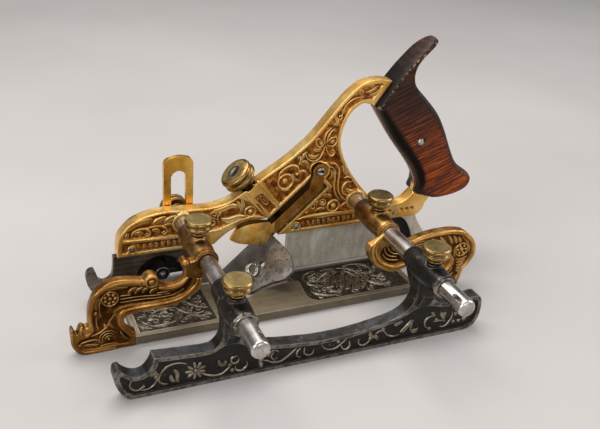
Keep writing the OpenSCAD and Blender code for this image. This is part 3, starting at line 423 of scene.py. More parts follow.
def brass_look(name, axis, ends=((100, 85, 52), (124, 106, 67), (148, 128, 85))):
    """Turned brass, dull on the flat end that faces along an axis, where it has three tones of its own."""
    look = Look(name, Metallic=1)
    bright = look.ramp(
        look.noise(110, 6, 0.6), (0.3, rgb(112, 86, 46)), (0.5, rgb(144, 113, 64)), (0.7, rgb(178, 145, 92))
    )
    dull = look.ramp(look.noise(150, 6, 0.6), *zip((0.3, 0.5, 0.7), (rgb(*tone) for tone in ends)))
    end = look.band(look.towards(axis), 0.93, 0.98)
    colour = look.mix(end, bright, dull)
    # Painted shade in hollows and grooves, dark brown.
    colour = look.mix(look.shade_in_hollows(0.0035), colour, rgb(40, 27, 12))
    # Painted highlight: edges lightened to pale brass.
    look.set(Base_Color=look.mix(look.both(look.edges(0.0007), 0.9), colour, rgb(250, 216, 148)))
    rough = look.band(look.noise(260, 5), 0.3, 0.7, 0.22, 0.38)
    look.set(Roughness=look.calc("ADD", rough, look.both(end, 0.2)))
    look.bump(look.noise(1100, 3), 0.15, 0.0003)
    return look.material


GILT = gilt_look()
STOP = stop_look()
FRONT_BRONZE = bracket_look("front_bronze", (112, 72, 28), (150, 102, 46), (196, 146, 80))
REAR_BRONZE = bracket_look("rear_bronze", (156, 108, 48), (198, 147, 76), (230, 184, 110))
LEVER = lever_look()
JAPAN = japan_look()
WOOD = wood_look()
THUMB_BRASS = brass_look("thumb_brass", (0, 0, 1))
WHEEL_BRASS = brass_look(
    "wheel_brass", (-0.669, 0, 0.743), ((122, 102, 62), (154, 131, 82), (184, 159, 106))
)
STOP_BRASS = brass_look("stop_brass", (0, 1, 0))
PLATE = plate_look()
ARM_STEEL = steel_look(
    "arm_steel", ((150, 144, 139), (186, 180, 175), (214, 209, 204)), (0.24, 0.46), (300, 30, 300),
    0.35, 0.6
)
DARK_STEEL = steel_look(
    "dark_steel", ((70, 66, 62), (104, 98, 92), (136, 130, 122)), (0.28, 0.5), (60, 60, 60),
    0.6, 0.3
)
FRONT_SKATE = steel_look(
    "front_skate_steel", ((96, 88, 80), (124, 114, 106), (152, 142, 132)), (0.3, 0.5), (10, 500, 500),
    0.4, 0.35
)
REAR_SKATE = steel_look(
    "rear_skate_steel", ((182, 172, 155), (210, 201, 184), (232, 224, 210)), (0.42, 0.6), (160, 60, 40),
    0.3, 0.2, metal=0.35, recess=True
)
# Cutter steel, with painted shade towards one side.
OLD_STEEL = steel_look(
    "old_steel", ((100, 95, 89), (136, 131, 125), (168, 163, 157)), (0.34, 0.6), (60, 160, 160),
    1, 0.3, metal=0.85, pit_scale=430, shade=((0.5, -0.866, 0), -0.034, -0.012)
)
WIRE = steel_look(
    "bright_wire", ((206, 196, 178), (226, 217, 200), (240, 233, 219)), (0.2, 0.34), (60, 60, 60),
    0, 0
)
VINE = steel_look(
    "worn_vine", ((106, 95, 80), (150, 137, 117), (192, 180, 158)), (0.28, 0.46), (80, 200, 200),
    0.5, 0.3, metal=0.92
)
PEWTER = steel_look(
    "pewter_relief", ((92, 84, 72), (124, 115, 100), (158, 148, 131)), (0.3, 0.48), (80, 200, 200),
    0.4, 0.3
)

FINISH = {
    GILT: ["main_stock"],
    STOP: ["depth_stop"],
    FRONT_BRONZE: ["bed_front_bracket"],
    REAR_BRONZE: ["bed_rear_bracket"],
    LEVER: ["clamp_lever"],
    JAPAN: ["fence", "depth_stop_shoe"],
    WOOD: ["handle_tote"],
    THUMB_BRASS: [
        "bed_front_thumbscrew", "bed_rear_thumbscrew", "fence_front_thumbscrew", "fence_rear_thumbscrew"
    ],
    WHEEL_BRASS: ["clamp_wheel"],
    STOP_BRASS: ["depth_stop_thumbscrew"],
    ARM_STEEL: ["front_arm", "rear_arm", "clamp_pivot_screw", "handle_rivet", "skate_rivets"],
    DARK_STEEL: ["clamp_screw"],
    PLATE: ["bed_plate", "bed_screws", "depth_stop_rivets"],
    FRONT_SKATE: ["front_skate"],
    REAR_SKATE: ["rear_skate"],
    OLD_STEEL: ["cutter", "cutter_wire"],
}
for material, names in FINISH.items():
    for name in names:
        slots = nodes[name].data.materials
        slots.clear()
        slots.append(material)


# Rounded edges on the CAD nodes


def round_horn(node, start_z, tip_z):
    """Narrows the end of the handle's horn to the shape of a tongue."""
    group = bpy.data.node_groups.new("round_horn", "GeometryNodeTree")
    for way in ("INPUT", "OUTPUT"):
        group.interface.new_socket("Geometry", in_out=way, socket_type="NodeSocketGeometry")

    def add(kind, inputs, **settings):
        made = group.nodes.new(kind)
        for name, value in settings.items():
            setattr(made, name, value)
        for name, value in inputs.items():
            if isinstance(value, bpy.types.NodeSocket):
                group.links.new(value, made.inputs[name])
            else:
                made.inputs[name].default_value = value
        return made.outputs

    def calc(operation, a, b=0.0):
        return add("ShaderNodeMath", {0: a, 1: b}, operation=operation)[0]

    x, y, z = add("ShaderNodeSeparateXYZ", {0: add("GeometryNodeInputPosition", {})[0]})
    end = add("ShaderNodeMapRange", {0: z, 1: start_z, 2: tip_z, 3: 0.0, 4: 1.0})[0]
    width = calc("SQRT", calc("SUBTRACT", 1.02, calc("MULTIPLY", end, end)))
    narrowed = calc("MULTIPLY", y, calc("MINIMUM", width, 1.0))
    place = add("ShaderNodeCombineXYZ", {0: x, 1: narrowed, 2: z})[0]
    mesh = add("NodeGroupInput", {})[0]
    moved = add("GeometryNodeSetPosition", {"Geometry": mesh, "Position": place})[0]
    add("NodeGroupOutput", {0: moved})
    node.modifiers.new("horn", "NODES").node_group = group


WELD_DISTANCE = 2e-6
FLAT_ANGLE, EDGE_ANGLE = math.radians(1), math.radians(38)
HORN_START_Z, HORN_TIP_Z = 0.157, 0.1686
# Width of the rounded edges in mm
ROUNDING = {
    "bed_plate": 0.3, "fence": 0.7, "front_skate": 0.3, "rear_skate": 0.3, "cutter": 0.3,
    "clamp_lever": 0.6, "depth_stop": 0.5,
}
# Castings and the handle, soft all over: voxel in mm, and rounds of smoothing
MELTED = {
    "main_stock": (0.45, 5), "handle_tote": (0.6, 12),
    "bed_front_bracket": (0.5, 8), "bed_rear_bracket": (0.5, 8),
}
for name, node in nodes.items():
    weld = node.modifiers.new("weld", "WELD")
    weld.merge_threshold = WELD_DISTANCE
    if name in MELTED:
        voxel, rounds = MELTED[name]
        cast = node.modifiers.new("cast", "REMESH")
        cast.mode = "VOXEL"
        cast.voxel_size = voxel / 1000
        cast.use_smooth_shade = True
        if name == "handle_tote":
            round_horn(node, HORN_START_Z, HORN_TIP_Z)
        soften = node.modifiers.new("soften", "SMOOTH")
        soften.factor = 0.5
        soften.iterations = rounds
        continue
    flatten = node.modifiers.new("flatten", "DECIMATE")
    flatten.decimate_type = "DISSOLVE"
    flatten.angle_limit = FLAT_ANGLE
    if name in ROUNDING:
        bevel = node.modifiers.new("edges", "BEVEL")
        bevel.width = ROUNDING[name] / 1000
        bevel.segments = 3
        bevel.limit_method = "ANGLE"
        bevel.angle_limit = EDGE_ANGLE
        bevel.miter_outer = "MITER_ARC"
    for face in node.data.polygons:
        face.use_smooth = True
    smooth = node.modifiers.new("normals", "WEIGHTED_NORMAL")
    smooth.keep_sharp = True


# Cast relief. Faces and fields that it stands on, in mm: the stock's from its middle plane

STOCK_FIELD, FENCE_FACE, PLATE_FIELD = 3.55, -106.35, 5.6
BRACKET_FIELD, BRACKET_RIM, SHOE_FACE = -57.75, -58.7, -1


def through(points, step=0.7):
    """Smooth path through (u, v) points, sampled about every step."""
    p = [Vector(q) for q in points]
    path = []
    for i in range(len(p) - 1):
        a, b, c, d = p[max(i - 1, 0)], p[i], p[i + 1], p[min(i + 2, len(p) - 1)]
        count = max(2, round((c - b).length / step))
        for t in (k / count for k in range(count)):
            bend = (2 * a - 5 * b + 4 * c - d) * t * t + (3 * b - a - 3 * c + d) * t ** 3
            path.append(0.5 * (2 * b + (c - a) * t + bend))
    return path + [p[-1]]


def curl(u, v, radius, start, turns, inner=0.3):
    """Points of a spiral that winds inwards from an angle in degrees."""
    count = max(6, round(abs(turns) * 12))
    points = []
    for t in (k / count for k in range(count + 1)):
        angle = math.radians(start + 360 * turns * t)
        r = radius * (1 - (1 - inner) * t)
        points.append((u + r * math.cos(angle), v + r * math.sin(angle)))
    return points


class Relief:
    """Raised ornament on one face of a casting, gathered into one mesh.

    Place gives the point in the frame for u and v on the face and a height over it. Sections are given
    as shares of half the width and of the height.
    """

    STROKE = ((-1, -0.2), (-0.72, 0.68), (0, 1), (0.72, 0.68), (1, -0.2))
    LEAF = ((-1, -0.2), (-0.76, 0.6), (-0.4, 1), (0, 0.42), (0.4, 1), (0.76, 0.6), (1, -0.2))
    BUD_RINGS, BUD_SIDES = (-12, 20, 45, 70), 10

    def __init__(self, place):
        self.build = bmesh.new()
        self.place = place
        corner, u, v, h = (place(*p) for p in ((0, 0, 0), (1, 0, 0), (0, 1, 0), (0, 0, 1)))
        self.mirrored = (u - corner).cross(v - corner).dot(h - corner) < 0

    def point(self, p, height):
        return self.build.verts.new(self.place(p[0], p[1], height))

    def face(self, corners):
        face = self.build.faces.new(corners[::-1] if self.mirrored else corners)
        face.smooth = True

    def sweep(self, path, width, height, section=STROKE, thin=0.3, closed=False):
        """Runs a section along a path. An open path narrows to the share thin at its ends."""
        last = len(path) - 1
        rows = []
        for i, p in enumerate(path):
            if closed:
                ahead, full = path[(i + 1) % len(path)] - path[i - 1], 1
            else:
                ahead = path[min(i + 1, last)] - path[max(i - 1, 0)]
                full = thin + (1 - thin) * max(0, math.sin(math.pi * i / last)) ** 0.6
            across = Vector((-ahead.y, ahead.x)).normalized() * width / 2 * full
            tall = height * (0.45 + 0.55 * full)
            rows.append([self.point(p + across * s, h * tall) for s, h in section])
        pairs = list(zip(rows, rows[1:]))
        if closed:
            pairs.append((rows[-1], rows[0]))
        else:
            self.face(rows[0])
            self.face(rows[-1][::-1])
        for low, high in pairs:
            for k in range(len(section) - 1):
                self.face([low[k], high[k], high[k + 1], low[k + 1]])

    def strokes(self, width, height, *paths, thin=0.3):
        for points in paths:
            self.sweep(through(points), width, height, thin=thin)

    def leaves(self, width, height, *paths):
        for points in paths:
            self.sweep(through(points), width, height, self.LEAF, thin=0.12)

    def rings(self, width, height, *rings):
        for u, v, radius in rings:
            circle = [Vector(p) for p in curl(u, v, radius, 0, 1, 1)[:-1]]
            self.sweep(circle, width, height, closed=True)

    def buds(self, height, *buds):
        """Low domes, each given by its middle and radius."""
        count = self.BUD_SIDES
        for u, v, radius in buds:
            rows = []
            for a in (math.radians(d) for d in self.BUD_RINGS):
                ring = [
                    (u + radius * math.cos(a) * math.cos(t), v + radius * math.cos(a) * math.sin(t))
                    for t in (2 * math.pi * k / count for k in range(count))
                ]
                rows.append([self.point(p, height * math.sin(a)) for p in ring])
            for low, high in zip(rows, rows[1:]):
                for k in range(count):
                    self.face([low[k], low[(k + 1) % count], high[(k + 1) % count], high[k]])
            self.face(rows[-1])

    def flower(self, u, v, inner, outer, count, width, height, start=0.0):
        """Petals from an inner to an outer radius round a bud."""
        for a in (math.radians(start + 360 * k / count) for k in range(count)):
            ray = Vector((math.cos(a), math.sin(a)))
            self.leaves(width, height, [Vector((u, v)) + ray * inner, Vector((u, v)) + ray * outer])
        self.buds(height, (u, v, inner * 1.1))

    def finish(self, name, body, material):
        mesh = bpy.data.meshes.new(name)
        self.build.to_mesh(mesh)
        self.build.free()
        mesh.materials.append(material)
        piece = bpy.data.objects.new(name, mesh)
        bpy.context.scene.collection.objects.link(piece)
        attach(piece, body)


def stock_relief(r):
    # front field
    r.strokes(3.2, 1.7, [(-103.6, 43), (-85, 42.2), (-66, 41.4)], [(-48.5, 41.6), (-35, 42.4)], thin=0.6)
    r.strokes(
        2.0, 1.3,
        [
            (-98.4, 46), (-97, 48.8), (-93.5, 50.6), (-89, 50.4), (-86, 47.8), (-86.4, 45.2), (-88.6, 45),
            (-89, 46.8)
        ],
        [(-88.6, 50.4), (-84, 51.4), (-79, 51.2), (-75.2, 48.8), (-74.8, 45.8), (-77, 44.9), (-77.8, 46.8)],
        [(-78, 51), (-73, 52), (-68, 51), (-65, 48)]
    )
    r.leaves(
        5, 1.6,
        [(-101, 50.5), (-96.5, 54.2), (-90, 56.2), (-84, 57)], [(-84, 52.8), (-80, 55.6), (-75, 57.4)],
        [(-76.6, 53.2), (-72, 55.6), (-66.5, 57)], [(-66, 50), (-63, 53), (-58, 54)]
    )
    r.leaves(
        3.2, 1.3,
        [(-96.4, 47.2), (-93, 48.2), (-90.4, 47)], [(-84.8, 48.4), (-82, 48.8), (-79.2, 47.2)],
        [(-101.8, 45.4), (-100.6, 48.8)]
    )
    r.strokes(
        1.3, 1.1,
        curl(-43, 48.5, 3.4, 30, 1.3), curl(-42, 54.5, 2.6, 250, -1.2), curl(-53, 49, 4, 30, 1.2),
        [(-38, 46), (-39.5, 51), (-38, 55), (-34, 57)]
    )
    r.leaves(
        5.2, 1.7,
        [(-44, 56.5), (-37, 57.6), (-30, 59.4), (-25, 58)], [(-37, 50.5), (-32, 49), (-25, 50), (-19, 49.4)]
    )
    r.leaves(
        3.4, 1.2,
        [(-35, 46.5), (-27, 46), (-18, 46.4), (-10, 48)], [(-26, 62.5), (-23.4, 58), (-22, 53.5)],
        [(-22.6, 63.5), (-21.4, 59.5), (-20.6, 56)]
    )
    r.rings(1.4, 1.1, (-16, 53, 4))
    r.buds(1.2, (-16, 53, 1.9), (-87.6, 46.6, 0.9), (-76.4, 46.6, 0.9))
    # band over the skates
    for x in (-98, -94, -90, -86, -82, -78, -74, -70, -66, -54, -50, -46, -42):
        r.leaves(2.4, 1.0, [(x, 39.6), (x + 0.6, 37), (x + 0.2, 34.6)])
    for x in (12, 16.2, 24.4, 28.4, 32.4, 36.4, 40.4, 44.4, 48.4, 52.4, 56.4, 60.4, 64.4):
        r.leaves(2.4, 1.0, [(x, 39.4), (x + 0.5, 37), (x, 34.6)])
    # clamp screw's field
    r.strokes(
        1.1, 1.0,
        [(-16, 73), (-15.6, 70), (-12.4, 67), (-10.6, 67.4), (-11, 70), (-14, 73), (-16, 73)],
        [(-9, 64), (-8.4, 61), (-5.4, 57.4), (-3.4, 57.6), (-4, 60.4), (-7, 63.6), (-9, 64)],
        [(-10.6, 67.4), (-9, 64)], [(-14.6, 71.4), (-12, 68.6)], [(-7.4, 62), (-5, 59)],
        thin=0.6
    )
    r.strokes(
        2.4, 1.6,
        [(-21.4, 67.2), (-12.6, 57.3), (-4.2, 47.8)], [(-11.9, 75), (-3.6, 65.6), (4.6, 56.2)],
        thin=0.9
    )
    # upper field
    r.rings(1.7, 1.15, (9, 72.6, 5.6))
    r.buds(1.2, (8.6, 73, 2.4))
    r.strokes(
        2, 1.2,
        [(3.6, 74), (4.4, 79), (8, 82.8), (13, 84.4), (17.5, 82.4), (18.6, 79), (17.4, 77)],
        [(5, 68.4), (8, 66.4), (12.4, 66.4)], [(18.6, 79), (21, 79.4), (24.6, 77.6), (26, 75)]
    )
    r.buds(1.2, (17.2, 77.2, 1.3))
    r.leaves(
        2.6, 1.2,
        [(16.4, 89), (18.6, 90), (19.6, 87), (18, 84)], [(18.6, 84), (22, 86.4), (25.6, 83), (24, 80.6)],
        [(13.6, 78), (15.6, 73.6), (20, 72)], [(20.6, 88), (21.6, 91.6), (23.4, 93)]
    )
    # neck
    r.strokes(
        1.3, 1.2,
        [(36.6, 98), (36, 102), (37.2, 106), (41, 109.6)],
        [(37.6, 99), (38.6, 103), (41, 107), (43.4, 108.6)],
        [(37, 98.6), (41, 101.8), (44.6, 102), (45.4, 98.6), (42.4, 95.6), (38, 97)],
        [(36.2, 98.6), (33.4, 96), (31, 97), (29.4, 101), (31.4, 102.4), (33, 100)],
        [(37.2, 97), (35.6, 92), (33, 87.4), (28.6, 85.8), (24.4, 88), (22.4, 92.4)],
        [(37.4, 96), (39, 91.4), (41.6, 88.4), (44, 89.4), (44, 92), (41.6, 93)]
    )
    r.leaves(
        3.2, 1.2,
        [(40.4, 99.4), (43.6, 98.6)], [(32.6, 99.6), (34.6, 97.4)], [(24.6, 91), (28.6, 88.6), (33, 90.6)],
        [(41.6, 111), (44.4, 112), (43.6, 115.6), (41, 117)], [(28, 94.6), (31, 93.6), (34, 94.6)]
    )
    r.strokes(
        1.4, 1.15,
        curl(46.4, 116.6, 1.8, 200, 1.1),
        [(47.4, 117.4), (48.6, 122), (51.6, 126.6), (56.6, 129.4), (63, 129.8)],
        [(44.4, 110), (45, 113.4), (44, 115.8)]
    )
    r.leaves(
        2.6, 1.2,
        [(53.6, 131.6), (56.4, 133.4), (57, 130.6)], [(58, 132), (60.6, 134.6), (62.4, 131.6)],
        [(63, 133), (66.6, 133), (70, 134.6), (73.6, 137.4)], [(64, 136.4), (67.6, 138.4), (70.6, 137)],
        [(67, 131), (71.6, 131.6), (75.4, 135)]
    )
    # rear field
    r.rings(2.4, 1.3, (35.4, 77.6, 6.2))
    r.strokes(
        1.7, 1.2,
        [(42, 83), (47, 81), (49.6, 76), (49.4, 68), (50.4, 60), (54.6, 54), (60, 51)],
        [(42, 80), (45.6, 77.6), (46.6, 71), (46.6, 64), (48.6, 57.6), (53, 52)],
        [(60.4, 66), (56.6, 66.6), (53.4, 62.4), (54.4, 57.6), (58.4, 56)],
        [(60.4, 66), (61, 68.6), (57.6, 70.6), (53.6, 70)]
    )
    r.leaves(
        3.4, 1.2,
        [(43.6, 77.4), (44.6, 73), (42, 70)], [(56.4, 61.6), (59, 59), (63, 58.4)],
        [(41, 68), (42.4, 63), (44, 59)], [(36, 57), (41, 58), (46, 56)], [(52.6, 80), (54, 75), (57.6, 71)]
    )
    r.rings(1.4, 1.15, (47.4, 48.8, 4.6))
    r.buds(1.2, (47.6, 48.6, 2.2), (34, 53.6, 1.4), (26, 46.4, 1.3), (38.6, 52.6, 1.4))
    r.strokes(
        1.4, 1.1,
        curl(38.6, 52.4, 3, 160, -1.2), curl(31.6, 50, 2.8, 330, 1.2), curl(26, 46.8, 2, 200, -1.1),
        [(41, 47), (37, 48.6), (33, 46.4)], [(53, 47), (57, 50), (61, 50)]
    )
    r.strokes(3.2, 1.7, [(18.6, 41.6), (27, 42.8), (40, 43), (52, 42.4), (60, 42)], thin=0.4)


for side, name in ((-1, "near"), (1, "far")):
    relief = Relief(lambda u, v, h, side=side: at(u, side * (STOCK_FIELD + h), v))
    stock_relief(relief)
    relief.finish("stock_relief_" + name, "stock", GILT)


def fence_relief(r):
    r.strokes(
        1.45, 1.15,
        curl(-119.6, 9.4, 4.6, 70, 0.75, 0.9),
        [
            (-118.4, 5), (-114, 4.4), (-110.6, 6), (-108, 10), (-105.4, 14.6), (-101.6, 18), (-97, 18.8),
            (-93, 17.8), (-90.6, 16.4)
        ],
        [(-106, 13), (-107.4, 9.4), (-105.6, 6.4), (-102, 5.2)],
        [(-64, 9.4), (-66, 7), (-69, 4.8), (-73, 4.2), (-78, 5.4), (-82, 8), (-85, 11)],
        [(-61, 8), (-61, 5.6), (-58, 4), (-54.8, 5.4), (-53.6, 8.4), (-54.4, 9.8)],
        curl(-61.4, 12.6, 2.8, 60, 0.9, 0.8),
        [(-46, 8.6), (-41, 7.2), (-37, 5), (-32, 4.8), (-27.6, 7.4), (-24, 10.4), (-21.6, 12.6)],
        [(-40.6, 9.6), (-39, 13), (-36.4, 14), (-33.6, 12)], [(-36, 6), (-38.6, 9.6), (-37, 12.6)],
        [(-19, 12), (-21.6, 9), (-21, 5.6), (-18.6, 4.4)],
        [(-16.6, 11.6), (-16.6, 7), (-14, 5), (-11, 5.6), (-10.2, 9)],
        [(-5.4, 11.4), (-3.4, 8), (0, 6), (4.6, 6), (8.6, 8.6), (12, 11.6)],
        [(8.4, 7.4), (10, 4), (13, 3.6), (14.6, 5.6), (14, 9)],
        [(20.6, 9), (21, 5.4), (24, 3.8), (27.4, 5.2), (29.4, 8)],
        [(32, 10), (35.4, 12.4), (38.6, 11), (41, 8), (45, 6), (50, 6.6)],
        [(52, 7), (56, 11.4), (59.4, 15.6)], [(50.4, 7.6), (54.6, 12), (58, 16)],
        [(59, 13.4), (58, 9), (60.4, 5.6), (63.6, 6)],
        [(76, 15.4), (71.6, 15.6), (68.4, 12.4), (69, 8.6), (72, 6.4)], [(75, 11), (80, 11), (84.6, 9.4)],
        [(89, 16), (88.6, 11), (86, 7), (82.6, 5.4), (80.4, 6.4)]
    )
    r.leaves(
        2.9, 1.15,
        [(-109.6, 16.4), (-108.4, 13.6), (-106, 12.6)], [(-112.6, 13.4), (-110, 14), (-107, 13.4)],
        [(-110, 11), (-107.6, 12.4)], [(-98.4, 14.4), (-96.4, 11), (-96.6, 7), (-95.4, 4.6)],
        [(-100.4, 11), (-99.6, 7.6), (-97.4, 5.4)], [(-71.6, 14.6), (-70.6, 11.6), (-67, 10)],
        [(-68.6, 13), (-66.4, 11)], [(-66, 9.6), (-63, 9.8)], [(-63.6, 6.8), (-62.4, 4.2)],
        [(-46, 8), (-44.6, 5), (-45.2, 2.6)], [(-46.4, 8.4), (-43, 8.6)],
        [(46, 13.6), (49, 15.6), (51.6, 16)], [(45, 15.8), (47.6, 14)], [(28, 13), (29, 10.4), (31, 9)],
        [(27.6, 6), (30.4, 8.6), (33, 7.4)], [(34.6, 5), (33, 8), (30.6, 9.4)], [(36.6, 14.6), (38.6, 12)],
        [(80, 17.6), (81.4, 14), (83.6, 10.4)], [(83.6, 17), (82.6, 13.6)],
        [(59.4, 8), (62, 6.4), (63.8, 8.4)], [(72.6, 18.6), (75, 16)], [(76, 13), (78.6, 10.4)],
        [(71, 6), (74, 5.6)], [(90.4, 15), (92.4, 12.6)], [(89, 8), (92, 7.4)], [(94, 6.6), (96, 8.6)],
        [(97.6, 7), (100.4, 9.6)], [(5.6, 11.6), (7, 9.4)]
    )
    r.flower(-85.4, 10.6, 1.3, 6.4, 9, 2.2, 1.1, 20)
    r.buds(0.9, (-116, 6.6, 1), (-120.4, 13.6, 1.2))


relief = Relief(lambda u, v, h: at(u, FENCE_FACE - h, v))
fence_relief(relief)
relief.finish("fence_vine", "fence_slide", VINE)


def plate_relief(r):
    # rear field
    r.strokes(
        2.2, 0.9,
        [(26, -19), (20, -21.6), (17, -27), (18, -33), (23, -37.6), (30, -38.6)],
        curl(24.6, -28, 4.4, 70, 1.3), [(46, -19.6), (53, -22), (58, -28), (60, -36), (58, -44), (52, -50)],
        [(50, -24), (54, -30), (55.4, -37), (53, -44)],
        [
            (52, -18.4), (60, -18), (67, -20.6), (70, -26), (67.6, -31.6), (62.6, -31.6), (61.4, -27.4),
            (64.4, -25)
        ],
        [(60, -40), (64, -46), (70, -49), (76, -47)], [(16, -42), (19, -47), (26, -50.6), (34, -51.6)],
        curl(21, -45.6, 3, 30, 1.2), [(66, -36), (71, -37.6), (76, -35)], curl(72, -42, 3.4, 180, -1.2)
    )
    for k in range(7):
        x, y = 29 + 3.4 * k, -40.5 - 1.6 * k
        r.leaves(2.8, 1.0, [(x, y), (x + 5 - 0.2 * k, y + 8), (x + 9 - 0.8 * k, y + 15 + 0.3 * k)])
    r.leaves(
        3.2, 0.9,
        [(27, -30), (31, -26), (38, -22)], [(28, -34), (33, -30), (39, -27)],
        [(33, -20), (39, -18.6), (44, -19.6)], [(29, -45), (33, -47.6), (38, -48)]
    )
    r.buds(0.9, (30, -41.6, 1.5), (35.6, -47, 1.4), (24.4, -28, 1.5))
    # front field
    r.strokes(
        2.0, 0.9,
        [(-105, -34), (-105.4, -42), (-103.6, -49), (-97, -52.6)],
        [(-100.6, -38), (-101.4, -44), (-98.6, -48)], curl(-94.4, -41, 3.4, 0, 1.3),
        [(-98, -49.6), (-91, -50.6), (-84, -49.6), (-80, -46)],
        [(-78, -28), (-76.4, -36), (-72, -42), (-65, -44.6), (-60, -42.6)],
        [(-70, -26), (-67, -33), (-61, -38.6), (-56.6, -39.6)],
        [(-76, -48), (-70, -45.6), (-64.6, -48), (-59, -51.6)], curl(-86, -40, 3.6, 200, -1.3),
        curl(-99, -28, 4, 100, 1.3), curl(-88, -27, 4.4, 0, -1.3),
        [(-104, -20), (-96, -21.6), (-88, -19.6), (-80, -21)], curl(-61, -30.6, 3, 60, 1.2)
    )
    for k in range(5):
        r.leaves(
            2.6, 0.9,
            [
                (-82 + 4.4 * k, -50 + 3.4 * k), (-79 + 4.4 * k, -44 + 3 * k),
                (-77.6 + 4.4 * k, -36 + 2.6 * k)
            ]
        )
    r.leaves(
        2.6, 0.9,
        [(-92, -35), (-86, -33), (-80, -34)], [(-74, -21), (-68, -19), (-61, -20)],
        [(-66, -49), (-60, -47), (-56.6, -48.6)]
    )
    # small scrolls between the large ones
    for first, last, low, high in ((-104, -58, -51, -20), (19, 76, -52, -20)):
        count, rows = round((last - first) / 6.4), round((high - low) / 5.6)
        for i in range(count + 1):
            for k in range(rows + 1):
                x = first + (last - first) * (i + 0.25 * (-1) ** k) / count
                y = low + (high - low) * (k + 0.2 * (-1) ** i) / rows
                if first <= x <= last and low <= y <= high:
                    way = (-1) ** (i + k)
                    r.strokes(1.2, 0.62, curl(x, y, 2.5, 80 * i + 130 * k, way * 1.1))


relief = Relief(lambda u, v, h: at(u, v, PLATE_FIELD + h))
plate_relief(relief)
relief.finish("plate_relief", "bed", PEWTER)


def ring_of(u, v, radius, count, size):
    """Buds in a ring."""
    angles = (2 * math.pi * k / count for k in range(count))
    return [(u + radius * math.cos(a), v + radius * math.sin(a), size) for a in angles]


def arc(u, v, radius, first, last):
    """Points of an arc between two angles in degrees."""
    return curl(u, v, radius, first, (last - first) / 360, 1)


def front_bracket_relief(r):
    r.rings(0.9, 0.9, (-123.8, 36.8, 5))
    r.buds(1.3, (-123.8, 36.8, 1.6), *ring_of(-123.8, 36.8, 3.1, 7, 1.3))
    r.leaves(2.4, 1.2, [(-130.4, 38.6), (-132, 34.6), (-132.6, 30.4)])
    r.buds(1.4, (-132.8, 28.2, 1.7))
    r.strokes(
        1, 1,
        [(-129, 39), (-130.2, 34), (-130.4, 29), (-129.4, 25)], [(-132.6, 25), (-132.4, 20), (-131.4, 16)]
    )
    r.strokes(
        0.8, 0.7,
        [(-118, 33), (-106, 33), (-94, 32.2), (-85, 32.6), (-78.6, 35.6)],
        [(-118, 35.4), (-106, 35.2), (-96, 34.2), (-87, 33.8)], [(-117.6, 37.8), (-111, 37.4)]
    )
    r.leaves(
        2.8, 1.4,
        [(-113, 38.4), (-110.4, 41), (-107, 42)], [(-109, 37.6), (-106, 40.6), (-102.8, 41.4)],
        [(-104.4, 37.4), (-102, 40), (-99, 39.8)], [(-100, 36.4), (-97.4, 38.6), (-95, 38)],
        [(-95.4, 35.6), (-91, 35.2), (-87, 35.8)]
    )
    r.leaves(2, 1.1, [(-126, 43), (-120, 43.6), (-113, 43.2)])
    # pendant
    r.strokes(
        1.3, 1.2,
        [(-121.6, 25.6), (-124.6, 21), (-126.6, 17.6), (-130.4, 14.4), (-136, 12.4)],
        [(-142.6, 8.4), (-138, 9.6), (-133, 9.4), (-131, 7)]
    )
    r.strokes(0.9, 1.1, *[arc(-125.6, 8.6, radius, 30, 190) for radius in (2.2, 4, 5.8)])
    r.leaves(
        2, 1.2,
        [(-124.6, 22.6), (-124.4, 19), (-122.4, 16)], [(-128, 19.6), (-127, 17)],
        [(-118.4, 12), (-116, 8), (-112.8, 5)], [(-140, 6.6), (-136, 6.2), (-132, 5)],
        [(-131, 4), (-126, 4.4), (-120, 4)]
    )
    r.buds(1.1, (-125.6, 8.4, 1.1), (-143, 7, 1.2), (-134.6, 6, 1))


def front_bracket_rims(r):
    r.strokes(
        5.2, 1.5,
        [
            (-110.6, 8), (-113.8, 11.4), (-117, 16), (-118.2, 20), (-117.2, 24), (-114.2, 26.3), (-109, 27),
            (-100, 27.1), (-90, 27.2), (-83.6, 28), (-78, 30), (-73.4, 33.2), (-70, 37.4), (-69, 42)
        ],
        thin=0.6
    )
    r.strokes(
        3.4, 1.2,
        [
            (-136, 20), (-136.2, 26), (-134.8, 33), (-132.2, 39.8), (-127.4, 44), (-121, 46.2),
            (-114, 46.6), (-105, 44.9)
        ],
        thin=0.6
    )
    r.strokes(
        2.6, 0.9,
        [(-94.4, 39.6), (-89, 37.8), (-84, 37.9), (-79.4, 40), (-76, 44)],
        [(-147.2, 17), (-147, 10), (-145, 5), (-142, 2), (-136, 1.3), (-122, 1.3)],
        [(-141.4, 19), (-141.8, 15.6), (-139.4, 13.4), (-136.4, 15)],
        thin=0.5
    )
    r.rings(1.9, 2.2, (-99, 45.2, 3.4))
    r.buds(3, (-99, 45.2, 2.6), (-78, 53.7, 2.5))


